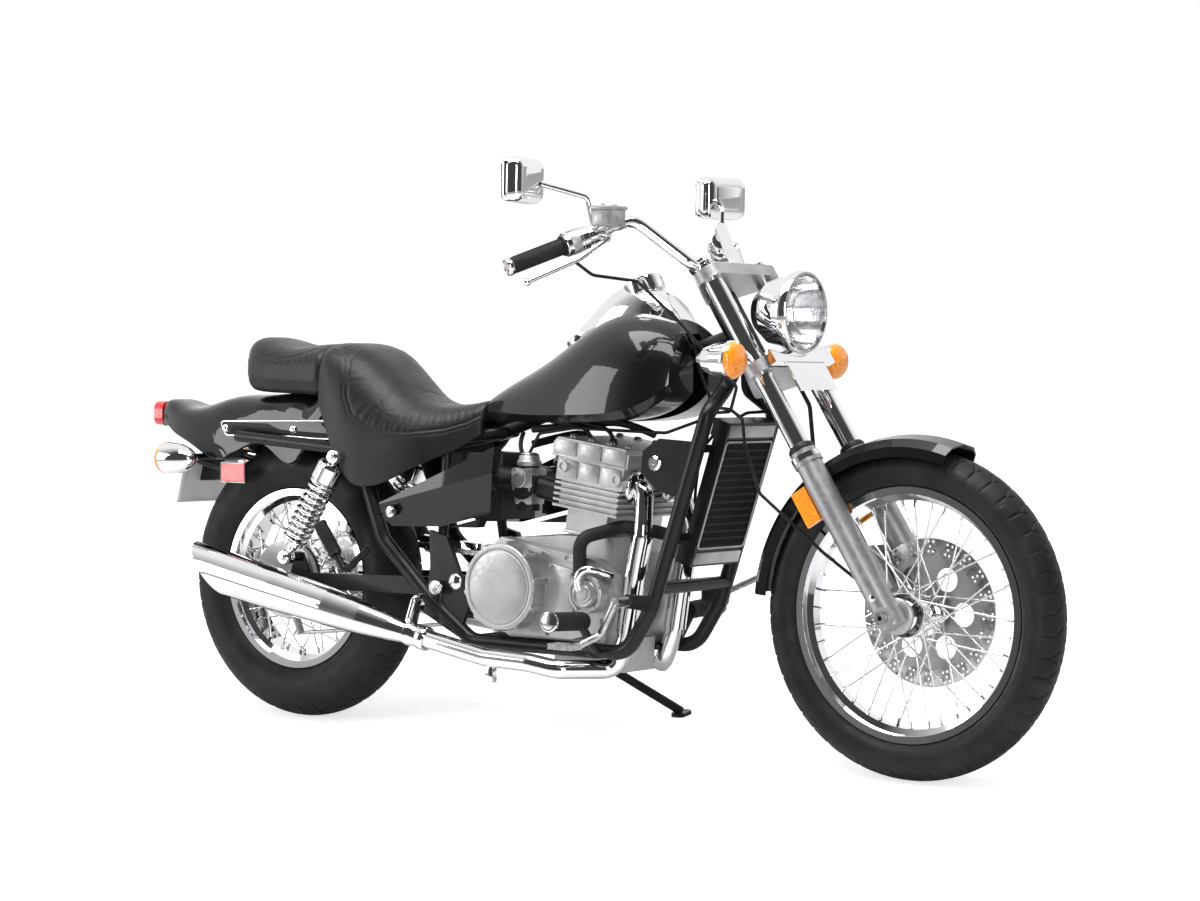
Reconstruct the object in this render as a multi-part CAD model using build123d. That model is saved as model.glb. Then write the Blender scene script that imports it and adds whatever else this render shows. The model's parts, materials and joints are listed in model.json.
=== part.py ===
"""Cruiser motorcycle with two wire wheels in line, leaning on its side stand.

The machine is drawn upright: +X forward, +Y to the rider's left, +Z up, with the tyres
touching z = 0 and x = 0 midway between the axles. At the end every piece is leaned over to the
left about the tyres' line of contact, so that the two tyres and the stand's foot all touch the
floor, and moved so that the origin is on the floor under the middle of the machine.
"""
from build123d import *
import math
import os

os.makedirs("parts", exist_ok=True)

# Driving sizes in millimetres and degrees
LEAN = 9.0
WHEELBASE = 1595.0
RAKE = 33.0
TRAIL = 150.0

FRONT_TYRE_R = 331.3
FRONT_TYRE_W = 102.0
FRONT_CROWN_R = 50.0
FRONT_RIM_R = 255.3
FRONT_RIM_W = 68.0
REAR_TYRE_R = 316.5
REAR_TYRE_W = 140.0
REAR_CROWN_R = 72.0
REAR_RIM_R = 204.5
REAR_RIM_W = 96.0
SPOKE_R = 1.9
FRONT_SPOKES = 40
REAR_SPOKES = 40
AXLE_R = 8.5
AXLE_BORE_R = 5.0
RUNNING_GAP = 0.05
PART_GAP = 0.5
SEAT_GAP = 0.3
RIM_FLANGE = 5.0
RIM_SEAT_DROP = 11.0

DISC_R = 150.0
DISC_T = 5.0
DISC_Y = 61.0
DRUM_R = 92.0
SPROCKET_R = 104.0
SPROCKET_Y = 85.0
CHAIN_W = 16.0

FORK_TUBE_R = 20.5
SLIDER_R = 27.0
FORK_HALF = 98.0
STEM_R = 22.0
HEAD_TUBE_R = 30.0
LOWER_YOKE_S = 933.0
UPPER_YOKE_S = 1160.0
YOKE_T = 26.0

BAR_R = 12.7
GRIP_R = 17.0
GRIP_LENGTH = 125.0

FRAME_TUBE_R = 16.0
RAIL_HALF = 128.0
BACKBONE_R = 20.0

HEADLIGHT_R = 83.0
SIGNAL_R = 36.5

# Stations worked out from them
LEAN_COS = math.cos(math.radians(LEAN))
FRONT_X = WHEELBASE / 2
REAR_X = -WHEELBASE / 2
FRONT_Z = FRONT_TYRE_R - FRONT_CROWN_R + FRONT_CROWN_R / LEAN_COS
REAR_Z = REAR_TYRE_R - REAR_CROWN_R + REAR_CROWN_R / LEAN_COS
SIN_RAKE = math.sin(math.radians(RAKE))
COS_RAKE = math.cos(math.radians(RAKE))
STEER_X = FRONT_X + TRAIL
STEER = Plane(origin=(STEER_X, 0, 0), x_dir=(COS_RAKE, 0, SIN_RAKE), z_dir=(-SIN_RAKE, 0, COS_RAKE))
AXLE_S = (FRONT_X - STEER_X) * -SIN_RAKE + FRONT_Z * COS_RAKE
FORK_OFFSET = (FRONT_X - STEER_X) * COS_RAKE + FRONT_Z * SIN_RAKE
HEAD_Z = 880.0
HEAD_X = STEER_X - HEAD_Z * SIN_RAKE / COS_RAKE

BOTTOM = (Align.CENTER, Align.CENTER, Align.MIN)


def rod(start, end, radius):
    """A straight round bar between two points."""
    way = Vector(*end) - Vector(*start)
    return Plane(origin=start, z_dir=way) * Cylinder(radius, way.length, align=BOTTOM)


def bent_tube(points, radius, bends):
    """A round bar along straight runs joined by arcs."""
    path = FilletPolyline(*points, radius=bends)
    return sweep(Plane(origin=path @ 0, z_dir=path % 0) * Circle(radius), path=path)


def block(x_range, y_range, z_range):
    """A box between two x, two y and two z values."""
    size = [high - low for low, high in (x_range, y_range, z_range)]
    middle = [(high + low) / 2 for low, high in (x_range, y_range, z_range)]
    return Pos(*middle) * Box(*size)


def side_plate(outline, y_low, y_high):
    """A flat plate whose outline is given in x and z."""
    face = make_face(Polyline(*[(x, 0, z) for x, z in outline], close=True))
    return Pos(0, y_low, 0) * extrude(face, amount=y_high - y_low, dir=(0, 1, 0))


def across(x, z, y_low, y_high, radius):
    """A round bar that lies across the machine."""
    return rod((x, y_low, z), (x, y_high, z), radius)


def steer_point(x, y, s):
    """A point given in the steering head's own directions."""
    return tuple(STEER.from_local_coords(Vector(x, y, s)))


def both_sides(shape):
    """A piece and its mirror image."""
    return Compound([*shape.solids(), *mirror(shape, about=Plane.XZ).solids()])


def turned(outline, centre_x, centre_z):
    """A ring turned about an axle: the outline is given in y and radius."""
    face = make_face(Polyline(*[(0, y, r) for y, r in outline], close=True))
    return Pos(centre_x, 0, centre_z) * revolve(face, Axis.Y)


def skin_section(x, z_low, z_high, half, power, shoulder):
    """A closed cross-section at x: flat underside, crowned top and rounded flanks."""
    points = []
    for step in range(13):
        angle = math.radians(180 * step / 12)
        c = round(math.cos(angle), 9)
        s = round(math.sin(angle), 9)
        y = half * math.copysign(abs(c) ** power, c)
        z = z_low + shoulder + (z_high - z_low - shoulder) * abs(s) ** power
        points.append((x, y, z))
    top = Spline(*points)
    base_half = half * 0.88
    right = Line((x, -half, z_low + shoulder), (x, -base_half, z_low))
    under = Line((x, -base_half, z_low), (x, base_half, z_low))
    left = Line((x, base_half, z_low), (x, half, z_low + shoulder))
    return make_face(top + right + under + left)


# Tyres
def tyre(radius, width, crown, rim_radius, rim_width, x, z):
    """A tyre: crown and side walls as arcs, and a flat bead face; its closed air space is left out."""
    half = width / 2
    bead = rim_width / 2 - RIM_FLANGE - SEAT_GAP
    bead_r = rim_radius - RIM_SEAT_DROP + SEAT_GAP
    lip_r = rim_radius + SEAT_GAP
    crown_y = half * 0.72
    crown_z = radius - crown + math.sqrt(crown**2 - crown_y**2)
    wall_r = lip_r + (crown_z - lip_r) * 0.5
    outer = [
        Line((0, -bead, bead_r), (0, -bead, lip_r)),
        ThreePointArc((0, -bead, lip_r), (0, -half, wall_r), (0, -crown_y, crown_z)),
        ThreePointArc((0, -crown_y, crown_z), (0, 0, radius), (0, crown_y, crown_z)),
        ThreePointArc((0, crown_y, crown_z), (0, half, wall_r), (0, bead, lip_r)),
        Line((0, bead, lip_r), (0, bead, bead_r)),
    ]
    bead_face = Line((0, bead, bead_r), (0, -bead, bead_r))
    return Pos(x, 0, z) * revolve(make_face(Curve() + outer + [bead_face]), Axis.Y)


def rim(rim_radius, rim_width, x, z):
    """A steel rim: two flanges, two bead seats and the well between them."""
    half = rim_width / 2
    seat = rim_radius - RIM_SEAT_DROP
    well = rim_radius - 27
    thick = 3.5
    outline = [
        (-half, rim_radius), (RIM_FLANGE - half, rim_radius), (RIM_FLANGE - half, seat), (-half + 20, seat),
        (-half + 26, well + thick), (half - 26, well + thick), (half - 20, seat), (half - RIM_FLANGE, seat),
        (half - RIM_FLANGE, rim_radius), (half, rim_radius), (half, seat - thick), (half - 17, seat - thick),
        (half - 22, well), (22 - half, well), (17 - half, seat - thick), (-half, seat - thick),
    ]
    return turned(outline, x, z)


def spokes(count, hub_r, hub_y_right, hub_y_left, rim_r, rim_y, x, z):
    """Tangent wire spokes, alternately to the right and the left hub flange."""
    bars = []
    for k in range(count):
        side = -1 if k % 2 == 0 else 1
        lead = 1 if (k // 2) % 2 == 0 else -1
        rim_angle = math.radians(360 * k / count)
        hub_angle = rim_angle + lead * math.radians(62)
        hub_y = hub_y_left if side > 0 else hub_y_right
        start = (x + hub_r * math.cos(hub_angle), hub_y + side * 1.2 * lead, z + hub_r * math.sin(hub_angle))
        end = (x + rim_r * math.cos(rim_angle), side * rim_y, z + rim_r * math.sin(rim_angle))
        bars.append(rod(start, end, SPOKE_R))
    return bars


front_tyre = tyre(FRONT_TYRE_R, FRONT_TYRE_W, FRONT_CROWN_R, FRONT_RIM_R, FRONT_RIM_W, FRONT_X, FRONT_Z)
rear_tyre = tyre(REAR_TYRE_R, REAR_TYRE_W, REAR_CROWN_R, REAR_RIM_R, REAR_RIM_W, REAR_X, REAR_Z)

# Front wheel: rim, spokes and hub in one piece
FRONT_HUB_RIGHT = -38.0
FRONT_HUB_LEFT = 40.0
FRONT_HUB_R = 30.0
HUB_END = 58.0
front_hub = turned(
    [
        (-HUB_END, AXLE_R + RUNNING_GAP), (-HUB_END, 22), (-46, 26), (FRONT_HUB_RIGHT - 4, FRONT_HUB_R),
        (FRONT_HUB_RIGHT - 4, 42), (FRONT_HUB_RIGHT + 4, 42), (FRONT_HUB_RIGHT + 6, 24),
        (FRONT_HUB_LEFT - 6, 26), (FRONT_HUB_LEFT - 4, 46), (FRONT_HUB_LEFT + 4, 46), (FRONT_HUB_LEFT + 6, 34),
        (DISC_Y - DISC_T / 2 - 1, 34), (DISC_Y - DISC_T / 2 - 1, AXLE_R + RUNNING_GAP),
    ],
    FRONT_X, FRONT_Z,
)
front_wheel = front_hub + rim(FRONT_RIM_R, FRONT_RIM_W, FRONT_X, FRONT_Z)
front_wheel += spokes(FRONT_SPOKES, 38, FRONT_HUB_RIGHT, FRONT_HUB_LEFT, FRONT_RIM_R - 26, 5, FRONT_X, FRONT_Z)

# Rear wheel: rim, spokes and drum hub in one piece
rear_hub = turned(
    [
        (-62, 60), (-62, DRUM_R), (-50, DRUM_R), (-46, 84), (-20, 80), (-16, 40), (20, 34), (24, 62),
        (32, 62), (36, 46), (SPROCKET_Y - 14, 46), (SPROCKET_Y - 14, AXLE_R + RUNNING_GAP),
        (-34, AXLE_R + RUNNING_GAP), (-34, 60),
    ],
    REAR_X, REAR_Z,
)
rear_wheel = rear_hub + rim(REAR_RIM_R, REAR_RIM_W, REAR_X, REAR_Z)
for bar_side, flange_r, flange_y in ((-1, DRUM_R - 4, -54), (1, 55, 28)):
    for k in range(REAR_SPOKES // 2):
        lead = 1 if k % 2 == 0 else -1
        rim_angle = math.radians(720 * (k + 0.25 * (1 + bar_side)) / REAR_SPOKES)
        hub_angle = rim_angle + lead * math.radians(38 if bar_side < 0 else 55)
        start = (
            REAR_X + flange_r * math.cos(hub_angle), flange_y + 1.2 * lead,
            REAR_Z + flange_r * math.sin(hub_angle),
        )
        end = (
            REAR_X + (REAR_RIM_R - 26) * math.cos(rim_angle), bar_side * 8,
            REAR_Z + (REAR_RIM_R - 26) * math.sin(rim_angle),
        )
        rear_wheel += rod(start, end, SPOKE_R)

# Front brake disc on its carrier, on the left of the hub
DISC_IN = DISC_Y - DISC_T / 2
DISC_OUT = DISC_Y + DISC_T / 2
brake_disc = turned([(DISC_IN, 108), (DISC_IN, DISC_R), (DISC_OUT, DISC_R), (DISC_OUT, 108)], FRONT_X, FRONT_Z)
carrier = turned(
    [(DISC_IN, AXLE_R + 8), (DISC_IN, 112), (DISC_OUT, 112), (DISC_OUT, AXLE_R + 8)], FRONT_X, FRONT_Z,
)
for k in range(6):
    angle = math.radians(60 * k)
    carrier -= across(FRONT_X + 78 * math.cos(angle), FRONT_Z + 78 * math.sin(angle), DISC_Y - 10, DISC_Y + 10, 24)
brake_disc += carrier
for k in range(36):
    angle = math.radians(10 * k)
    hole_r = 118 + 10 * (k % 3)
    brake_disc -= across(FRONT_X + hole_r * math.cos(angle), FRONT_Z + hole_r * math.sin(angle), DISC_Y - 10, DISC_Y + 10, 3.5)

# Rear sprocket
rear_sprocket = turned(
    [
        (SPROCKET_Y - 13.5, AXLE_R + 10), (SPROCKET_Y - 13.5, 44), (SPROCKET_Y - 3, 50), (SPROCKET_Y - 3, SPROCKET_R - 12),
        (SPROCKET_Y + 3, SPROCKET_R - 12), (SPROCKET_Y + 3, AXLE_R + 10),
    ],
    REAR_X, REAR_Z,
)

# Front axle, held by the fork legs
front_axle = across(FRONT_X, FRONT_Z, -FORK_HALF - 30, FORK_HALF + 30, AXLE_R)
front_axle += across(FRONT_X, FRONT_Z, -FORK_HALF - 38, -FORK_HALF - 30, 13)
front_axle += across(FRONT_X, FRONT_Z, FORK_HALF + 30, FORK_HALF + 42, 13)
front_axle -= across(FRONT_X, FRONT_Z, -FORK_HALF - 40, FORK_HALF + 44, AXLE_BORE_R)

# Fork legs, drawn along the steering axis
TUBE_TOP_S = UPPER_YOKE_S + 20
SLIDER_TOP_S = 740.0
TUBE_FOOT_S = 470.0


def leg(radius, s_low, s_high):
    """A round length of the right fork leg."""
    return STEER * Pos(FORK_OFFSET, -FORK_HALF, s_low) * Cylinder(radius, s_high - s_low, align=BOTTOM)


fork_tubes = both_sides(leg(FORK_TUBE_R, TUBE_FOOT_S, TUBE_TOP_S) + leg(FORK_TUBE_R - 4, TUBE_TOP_S, TUBE_TOP_S + 5))
slider = leg(SLIDER_R, AXLE_S - 22, SLIDER_TOP_S) + leg(SLIDER_R + 3, SLIDER_TOP_S - 30, SLIDER_TOP_S - 8)
slider += across(FRONT_X, FRONT_Z, -FORK_HALF - 29, -FORK_HALF + 25, 22)
slider -= leg(FORK_TUBE_R + RUNNING_GAP, TUBE_FOOT_S, SLIDER_TOP_S + 5)
slider -= across(FRONT_X, FRONT_Z, -FORK_HALF - 60, -FORK_HALF + 60, AXLE_R + RUNNING_GAP)
fork_sliders = both_sides(slider)

# Yokes and steering stem
def yoke(s_middle, thick):
    """One yoke plate: a web from the stem to a boss round each fork tube."""
    bosses = [Circle(STEM_R + 12).edge()]
    for side in (-1, 1):
        bosses.append((Pos(FORK_OFFSET, side * FORK_HALF) * Circle(FORK_TUBE_R + 11)).edge())
    plate = extrude(make_hull(bosses), amount=thick / 2, both=True)
    for side in (-1, 1):
        plate -= Pos(FORK_OFFSET, side * FORK_HALF, 0) * Cylinder(FORK_TUBE_R + RUNNING_GAP, thick + 20)
    return STEER * Pos(0, 0, s_middle) * plate


yokes = yoke(LOWER_YOKE_S, YOKE_T) + yoke(UPPER_YOKE_S, YOKE_T)
yokes += STEER * Pos(0, 0, LOWER_YOKE_S) * Cylinder(STEM_R, UPPER_YOKE_S - LOWER_YOKE_S, align=BOTTOM)
HEAD_FOOT_S = LOWER_YOKE_S + YOKE_T / 2 + 5
HEAD_TOP_S = UPPER_YOKE_S - YOKE_T / 2 - 5

# Handlebar on its risers
RISER_X = 20.0
RISER_HALF = 52.0
BAR_RISE = 34.0
BAR_S = UPPER_YOKE_S + YOKE_T / 2 + BAR_RISE
BAR_MIDDLE = STEER.from_local_coords(Vector(RISER_X, 0, BAR_S))
BAR_CORNER = BAR_MIDDLE + Vector(-95, 163, 94)
BAR_END = BAR_MIDDLE + Vector(-241, 395, -13)
BAR_WAY = (BAR_END - BAR_CORNER).normalized()


def mirrored(point):
    """The same point on the other side."""
    return Vector(point.X, -point.Y, point.Z)


bar_points = [
    mirrored(BAR_END), mirrored(BAR_CORNER), BAR_MIDDLE + Vector(0, -78, 0),
    BAR_MIDDLE + Vector(0, 78, 0), BAR_CORNER, BAR_END,
]
handlebar = bent_tube([tuple(p) for p in bar_points], BAR_R, [42, 38, 38, 42])
for side in (-1, 1):
    riser = Pos(RISER_X, side * RISER_HALF, UPPER_YOKE_S + YOKE_T / 2) * Cylinder(15, BAR_RISE, align=BOTTOM)
    clamp = Pos(RISER_X, side * RISER_HALF, BAR_S) * Rot(90, 0, 0) * Cylinder(21, 32)
    handlebar += STEER * (riser + clamp)

GRIP_START = 161.0
PERCH_R = 20.0


def on_bar(distance, side=-1):
    """A point on the straight end of the bar, measured from its upper corner."""
    point = BAR_CORNER + BAR_WAY * distance
    return tuple(point) if side > 0 else tuple(mirrored(point))


grips = None
for side in (-1, 1):
    sleeve = rod(on_bar(GRIP_START, side), on_bar(GRIP_START + GRIP_LENGTH, side), GRIP_R)
    sleeve += rod(on_bar(GRIP_START, side), on_bar(GRIP_START + 6, side), GRIP_R + 4)
    sleeve -= rod(on_bar(GRIP_START - 10, side), on_bar(GRIP_START + GRIP_LENGTH + 20, side), BAR_R + RUNNING_GAP)
    grips = sleeve if grips is None else Compound([*grips.solids(), *sleeve.solids()])

# Switch housings, levers and the brake master cylinder
controls = []
for side in (-1, 1):
    housing = rod(on_bar(112, side), on_bar(GRIP_START - 1, side), 25)
    perch = rod(on_bar(74, side), on_bar(108, side), PERCH_R)
    lever_root = Vector(*on_bar(92, side)) + Vector(38, 0, -8)
    lever_mid = Vector(*on_bar(GRIP_START + 20, side)) + Vector(58, 0, -22)
    lever_tip = Vector(*on_bar(GRIP_START + GRIP_LENGTH + 5, side)) + Vector(48, 0, -30)
    perch += rod(on_bar(92, side), tuple(lever_root), 9)
    perch += bent_tube([tuple(lever_root), tuple(lever_mid), tuple(lever_tip)], 5, 60)
    perch += Pos(*lever_tip) * Sphere(8)
    bar_bore = rod(on_bar(30, side), on_bar(GRIP_START + 10, side), BAR_R + RUNNING_GAP)
    for piece in (housing, perch):
        controls.append(piece - bar_bore)
master = Pos(*(Vector(*on_bar(86)) + Vector(30, 0, 30))) * Box(46, 52, 34)
controls[1] += master
controls[1] += rod(on_bar(90), tuple(Vector(*on_bar(90)) + Vector(28, 0, 26)), 12)
controls[1] -= rod(on_bar(30), on_bar(GRIP_START + 10), BAR_R + RUNNING_GAP)
hand_controls = Compound([s for piece in controls for s in piece.solids()])

# Mirrors: stem and shell
MIRROR_CENTRE = Vector(HEAD_X - 296, -362, 1188)
mirror_base = Vector(*on_bar(92)) + Vector(0, 0, BAR_R)
mirror_stem = bent_tube(
    [
        tuple(mirror_base), tuple(mirror_base + Vector(-8, -14, 62)),
        tuple(MIRROR_CENTRE + Vector(16, 36, -6)),
    ],
    5.5, 14,
)
MIRROR_W = 126.0
MIRROR_H = 92.0
MIRROR_D = 46.0
mirror_shell = Pos(*MIRROR_CENTRE) * Rot(0, 0, 12) * fillet(Box(MIRROR_D, MIRROR_W, MIRROR_H).edges(), 21)
mirror_stem -= rod(on_bar(60), on_bar(120), PERCH_R + SEAT_GAP)
mirrors = both_sides(mirror_stem + mirror_shell)

# Headlight: bowl with a bezel, and the glass in front
LAMP = Vector(HEAD_X + 148, 0, HEAD_Z + 51)
bowl_outline = [
    (-112, 0), (-112, 20), (-100, 42), (-70, 66), (-30, 76), (-12, 78), (-12, HEADLIGHT_R),
    (6, HEADLIGHT_R), (6, HEADLIGHT_R - 6), (-8, HEADLIGHT_R - 8), (-60, 55), (-96, 20), (-100, 0),
]
bowl_face = make_face(Polyline(*[(x, 0, r) for x, r in bowl_outline], close=True))
headlight = Pos(*LAMP) * revolve(bowl_face, Axis.X)
lens_outline = [(-7, 0), (-7, HEADLIGHT_R - 9.5), (5.5, HEADLIGHT_R - 7), (12, HEADLIGHT_R - 30), (17, 0)]
headlight_lens = Pos(*LAMP) * revolve(make_face(Polyline(*[(x, 0, r) for x, r in lens_outline], close=True)), Axis.X)

# Lamp bracket between the yokes, with the bar that carries the front signals
LAMP_BAR_S = LOWER_YOKE_S
lamp_bar_x = FORK_OFFSET + FORK_TUBE_R + 12
lamp_bracket = STEER * Pos(lamp_bar_x + 10, 0, LAMP_BAR_S + 4) * Box(16, 2 * FORK_HALF + 30, 30)
lamp_bracket += STEER * Pos(lamp_bar_x + 14, 0, LAMP_BAR_S - 40) * Box(4, 2 * FORK_HALF - 52, 74)
lamp_foot = STEER.from_local_coords(Vector(lamp_bar_x + 10, 0, LAMP_BAR_S + 10))
lamp_bracket += rod(tuple(lamp_foot), (LAMP.X - 40, 0, LAMP.Z - 70), 11)
headlight += lamp_bracket
headlight -= STEER * Pos(0, 0, LOWER_YOKE_S) * Box(2 * (lamp_bar_x + 0.3), 3 * FORK_HALF, YOKE_T + 12)

# Front turn signals: chrome bullet, lens and stalk in one piece
SIGNAL_HALF = 194.0
SIGNAL = Vector(HEAD_X + 104, -SIGNAL_HALF, HEAD_Z - 48)
bullet_outline = [
    (-82, 0), (-78, 12), (-60, 25), (-36, 33), (0, SIGNAL_R), (4, SIGNAL_R),
    (4, SIGNAL_R - 3), (16, SIGNAL_R - 6), (20, 0),
]
bullet_face = make_face(Polyline(*[(x, 0, r) for x, r in bullet_outline], close=True))
signal = Pos(*SIGNAL) * revolve(bullet_face, Axis.X)
signal += rod((SIGNAL.X - 34, SIGNAL.Y + 20, SIGNAL.Z), (SIGNAL.X - 34, -FORK_HALF - 44, SIGNAL.Z), 9)
front_signals = both_sides(signal)

# Front fender: a shell round the tyre on four bosses, and its reflectors
FENDER_HALF = 62.0
FENDER_R = FRONT_TYRE_R + 27
FENDER_T = 3.0


def fender_face(half, top, drop, thick):
    """The fender's cross-section in y and radius: crowned top and short skirts."""
    outer = [(half, top - drop), (half, top - 24), (half * 0.72, top - 8), (0, top)]
    inner = [(0, top - thick), (half * 0.72 - thick, top - 8 - thick), (half - thick, top - 24 - thick / 2),
             (half - thick, top - drop)]
    points = outer + [(-y, r) for y, r in reversed(outer[:-1])]
    points += [(-y, r) for y, r in reversed(inner[1:])] + inner
    return make_face(Polyline(*[(0, y, r) for y, r in points], close=True))


FENDER_BACK = 86.0
FENDER_FRONT = 17.0
start_face = fender_face(FENDER_HALF, FENDER_R, 44, FENDER_T).rotate(Axis.Y, -FENDER_BACK)
front_fender = revolve(start_face, Axis.Y, FENDER_BACK + FENDER_FRONT)
front_fender = Pos(FRONT_X, 0, FRONT_Z) * front_fender
BOSS_R = FENDER_R - 34
boss_x = FRONT_X - BOSS_R * SIN_RAKE
boss_z = FRONT_Z + BOSS_R * COS_RAKE
for side in (-1, 1):
    ends = sorted((side * (FENDER_HALF - 1.5), side * (FORK_HALF - SLIDER_R - SEAT_GAP)))
    front_fender += across(boss_x, boss_z, ends[0], ends[1], 8)

reflector = STEER * Pos(FORK_OFFSET - SLIDER_R - 22, -FORK_HALF - 2, SLIDER_TOP_S - 100) * Box(36, 9, 76)
reflector += STEER * Pos(FORK_OFFSET - SLIDER_R - 8, -FORK_HALF + 6, SLIDER_TOP_S - 100) * Box(16, 8, 20)
reflector -= leg(SLIDER_R + 0.3, SLIDER_TOP_S - 200, SLIDER_TOP_S)
front_reflectors = both_sides(reflector)

# Brake caliper behind the left fork leg, over the disc
CALIPER_S = AXLE_S + 128
caliper_block = STEER * Pos(FORK_OFFSET - SLIDER_R - 40, DISC_Y + 4, CALIPER_S) * Box(70, 66, 96)
brake_caliper = caliper_block
disc_room = across(FRONT_X, FRONT_Z, DISC_Y - DISC_T / 2 - 5.5, DISC_Y + DISC_T / 2 + 5.5, DISC_R + 6)
brake_caliper -= disc_room
spoke_room = turned([(0, 0), (0, FRONT_RIM_R), (DISC_Y - 32, FRONT_RIM_R), (DISC_Y - 32, 0)], FRONT_X, FRONT_Z)
brake_caliper -= spoke_room
brake_caliper -= STEER * Pos(FORK_OFFSET, FORK_HALF, 0) * Cylinder(SLIDER_R + 0.3, 2000)
brake_caliper = max(brake_caliper.solids(), key=lambda s: s.volume)

# Frame: head tube, backbone, cradle and rails
HEAD_BORE_R = STEM_R + RUNNING_GAP
RAIL_Z = 220.0
CRADLE_X = HEAD_X - 126
PIVOT_X = REAR_X + 490
PIVOT_Z = 330.0
ARM_IN = 97.0
ARM_OUT = 110.0
SHOCK_TOP = Vector(REAR_X + 204, -148, 603)
SHOCK_FOOT = Vector(REAR_X + 64, -148, 374)

frame = STEER * Pos(0, 0, HEAD_FOOT_S) * Cylinder(HEAD_TUBE_R, HEAD_TOP_S - HEAD_FOOT_S, align=BOTTOM)
BACKBONE_END = (PIVOT_X + 60, 0, 668)
frame += rod((HEAD_X + 4, 0, HEAD_Z + 6), BACKBONE_END, BACKBONE_R)
frame_tubes = []
for side in (-1, 1):
    cradle = [
        steer_point(-12, side * 12, 1015), steer_point(-68, side * 46, 962), steer_point(-81, side * RAIL_HALF, 916),
        (CRADLE_X, side * RAIL_HALF, RAIL_Z + 96), (CRADLE_X - 60, side * RAIL_HALF, RAIL_Z),
        (PIVOT_X + 90, side * RAIL_HALF, RAIL_Z), (PIVOT_X - 24, side * RAIL_HALF, 300),
        (PIVOT_X - 164, side * (RAIL_HALF - 4), 424), (PIVOT_X - 250, side * 112, 614),
    ]
    frame_tubes.append(bent_tube(cradle, FRAME_TUBE_R, [30, 40, 60, 60, 60, 90, 50]))
    rail = [
        (PIVOT_X + 90, side * 12, 668), (PIVOT_X - 40, side * 78, 648), (PIVOT_X - 240, side * 112, 616),
        (REAR_X - 120, side * 114, 640),
    ]
    frame_tubes.append(bent_tube(rail, FRAME_TUBE_R - 3, [50, 120]))
    frame_tubes.append(rod((PIVOT_X - 2, side * RAIL_HALF, 296), (PIVOT_X - 26, side * 76, 650), FRAME_TUBE_R - 5))
    top = SHOCK_TOP if side < 0 else mirrored(SHOCK_TOP)
    lug = sorted((side * 108, side * (abs(top.Y) - 14)))
    frame_tubes.append(across(top.X, top.Z, lug[0], lug[1], 14))
    plate_outline = [
        (HEAD_X - 156, 596), (HEAD_X - 116, 562), (HEAD_X - 66, 548), (HEAD_X - 26, 664), (HEAD_X - 112, 668),
        (HEAD_X - 152, 642),
    ]
    frame_tubes.append(side_plate(plate_outline, *sorted((side * 124, side * 132))))
    pivot_plate = [
        (PIVOT_X - 44, 272), (PIVOT_X + 52, 226), (PIVOT_X + 84, 300), (PIVOT_X + 18, 440),
        (PIVOT_X - 30, 452), (PIVOT_X - 26, 372),
    ]
    plate = side_plate(pivot_plate, *sorted((side * 120, side * 132)))
    plate -= across(PIVOT_X + 44, 344, -200, 200, 17)
    frame_tubes.append(plate)
    pedal_bracket = [(196, 316), (CRADLE_X + 8, 312), (CRADLE_X + 16, 344), (196, 344)]
    frame_tubes.append(side_plate(pedal_bracket, *sorted((side * (RAIL_HALF + 8), side * (RAIL_HALF + 20)))))
for x, z in ((CRADLE_X + 15, 360), (CRADLE_X - 150, RAIL_Z), (PIVOT_X + 100, RAIL_Z)):
    frame_tubes.append(across(x, z, -RAIL_HALF, RAIL_HALF, FRAME_TUBE_R - 2))
frame_tubes.append(across(PIVOT_X, PIVOT_Z, -RAIL_HALF + 4, -ARM_OUT - SEAT_GAP, 26))
frame_tubes.append(across(PIVOT_X, PIVOT_Z, ARM_OUT + SEAT_GAP, RAIL_HALF - 4, 26))
for piece in frame_tubes:
    frame += piece
frame -= STEER * Pos(0, 0, HEAD_FOOT_S - 50) * Cylinder(HEAD_BORE_R, HEAD_TOP_S - HEAD_FOOT_S + 100, align=BOTTOM)
frame -= across(PIVOT_X, PIVOT_Z, -200, 200, AXLE_R)
frame -= across(PIVOT_X, PIVOT_Z, -ARM_OUT - SEAT_GAP, ARM_OUT + SEAT_GAP, 24)

# The line of the chain
FRONT_SPROCKET = (PIVOT_X + 104, 345.0)
CHAIN_H = 16.0
CHAIN_R = SPROCKET_R - 0.5
FRONT_CHAIN_R = 40.0


def belt(radius_rear, radius_front, y_low, y_high):
    """The filled outline of a belt round the two sprockets."""
    dx = FRONT_SPROCKET[0] - REAR_X
    dz = FRONT_SPROCKET[1] - REAR_Z
    distance = math.hypot(dx, dz)
    slope = math.atan2(dz, dx)
    spread = math.acos((radius_rear - radius_front) / distance)
    corners = []
    for sign in (1, -1):
        angle = slope + sign * spread
        corners.append((
            (REAR_X + radius_rear * math.cos(angle), REAR_Z + radius_rear * math.sin(angle)),
            (FRONT_SPROCKET[0] + radius_front * math.cos(angle), FRONT_SPROCKET[1] + radius_front * math.sin(angle)),
        ))
    back = (REAR_X - radius_rear * math.cos(slope), REAR_Z - radius_rear * math.sin(slope))
    fore = (FRONT_SPROCKET[0] + radius_front * math.cos(slope), FRONT_SPROCKET[1] + radius_front * math.sin(slope))
    (rear_top, front_top), (rear_low, front_low) = corners
    flat = [(x, 0, z) for x, z in (rear_top, front_top, fore, front_low, rear_low, back)]
    wire = Line(flat[0], flat[1])
    wire += ThreePointArc(flat[1], flat[2], flat[3])
    wire += Line(flat[3], flat[4])
    wire += ThreePointArc(flat[4], flat[5], flat[0])
    return Pos(0, y_low, 0) * extrude(make_face(wire), amount=y_high - y_low, dir=(0, 1, 0))


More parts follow.
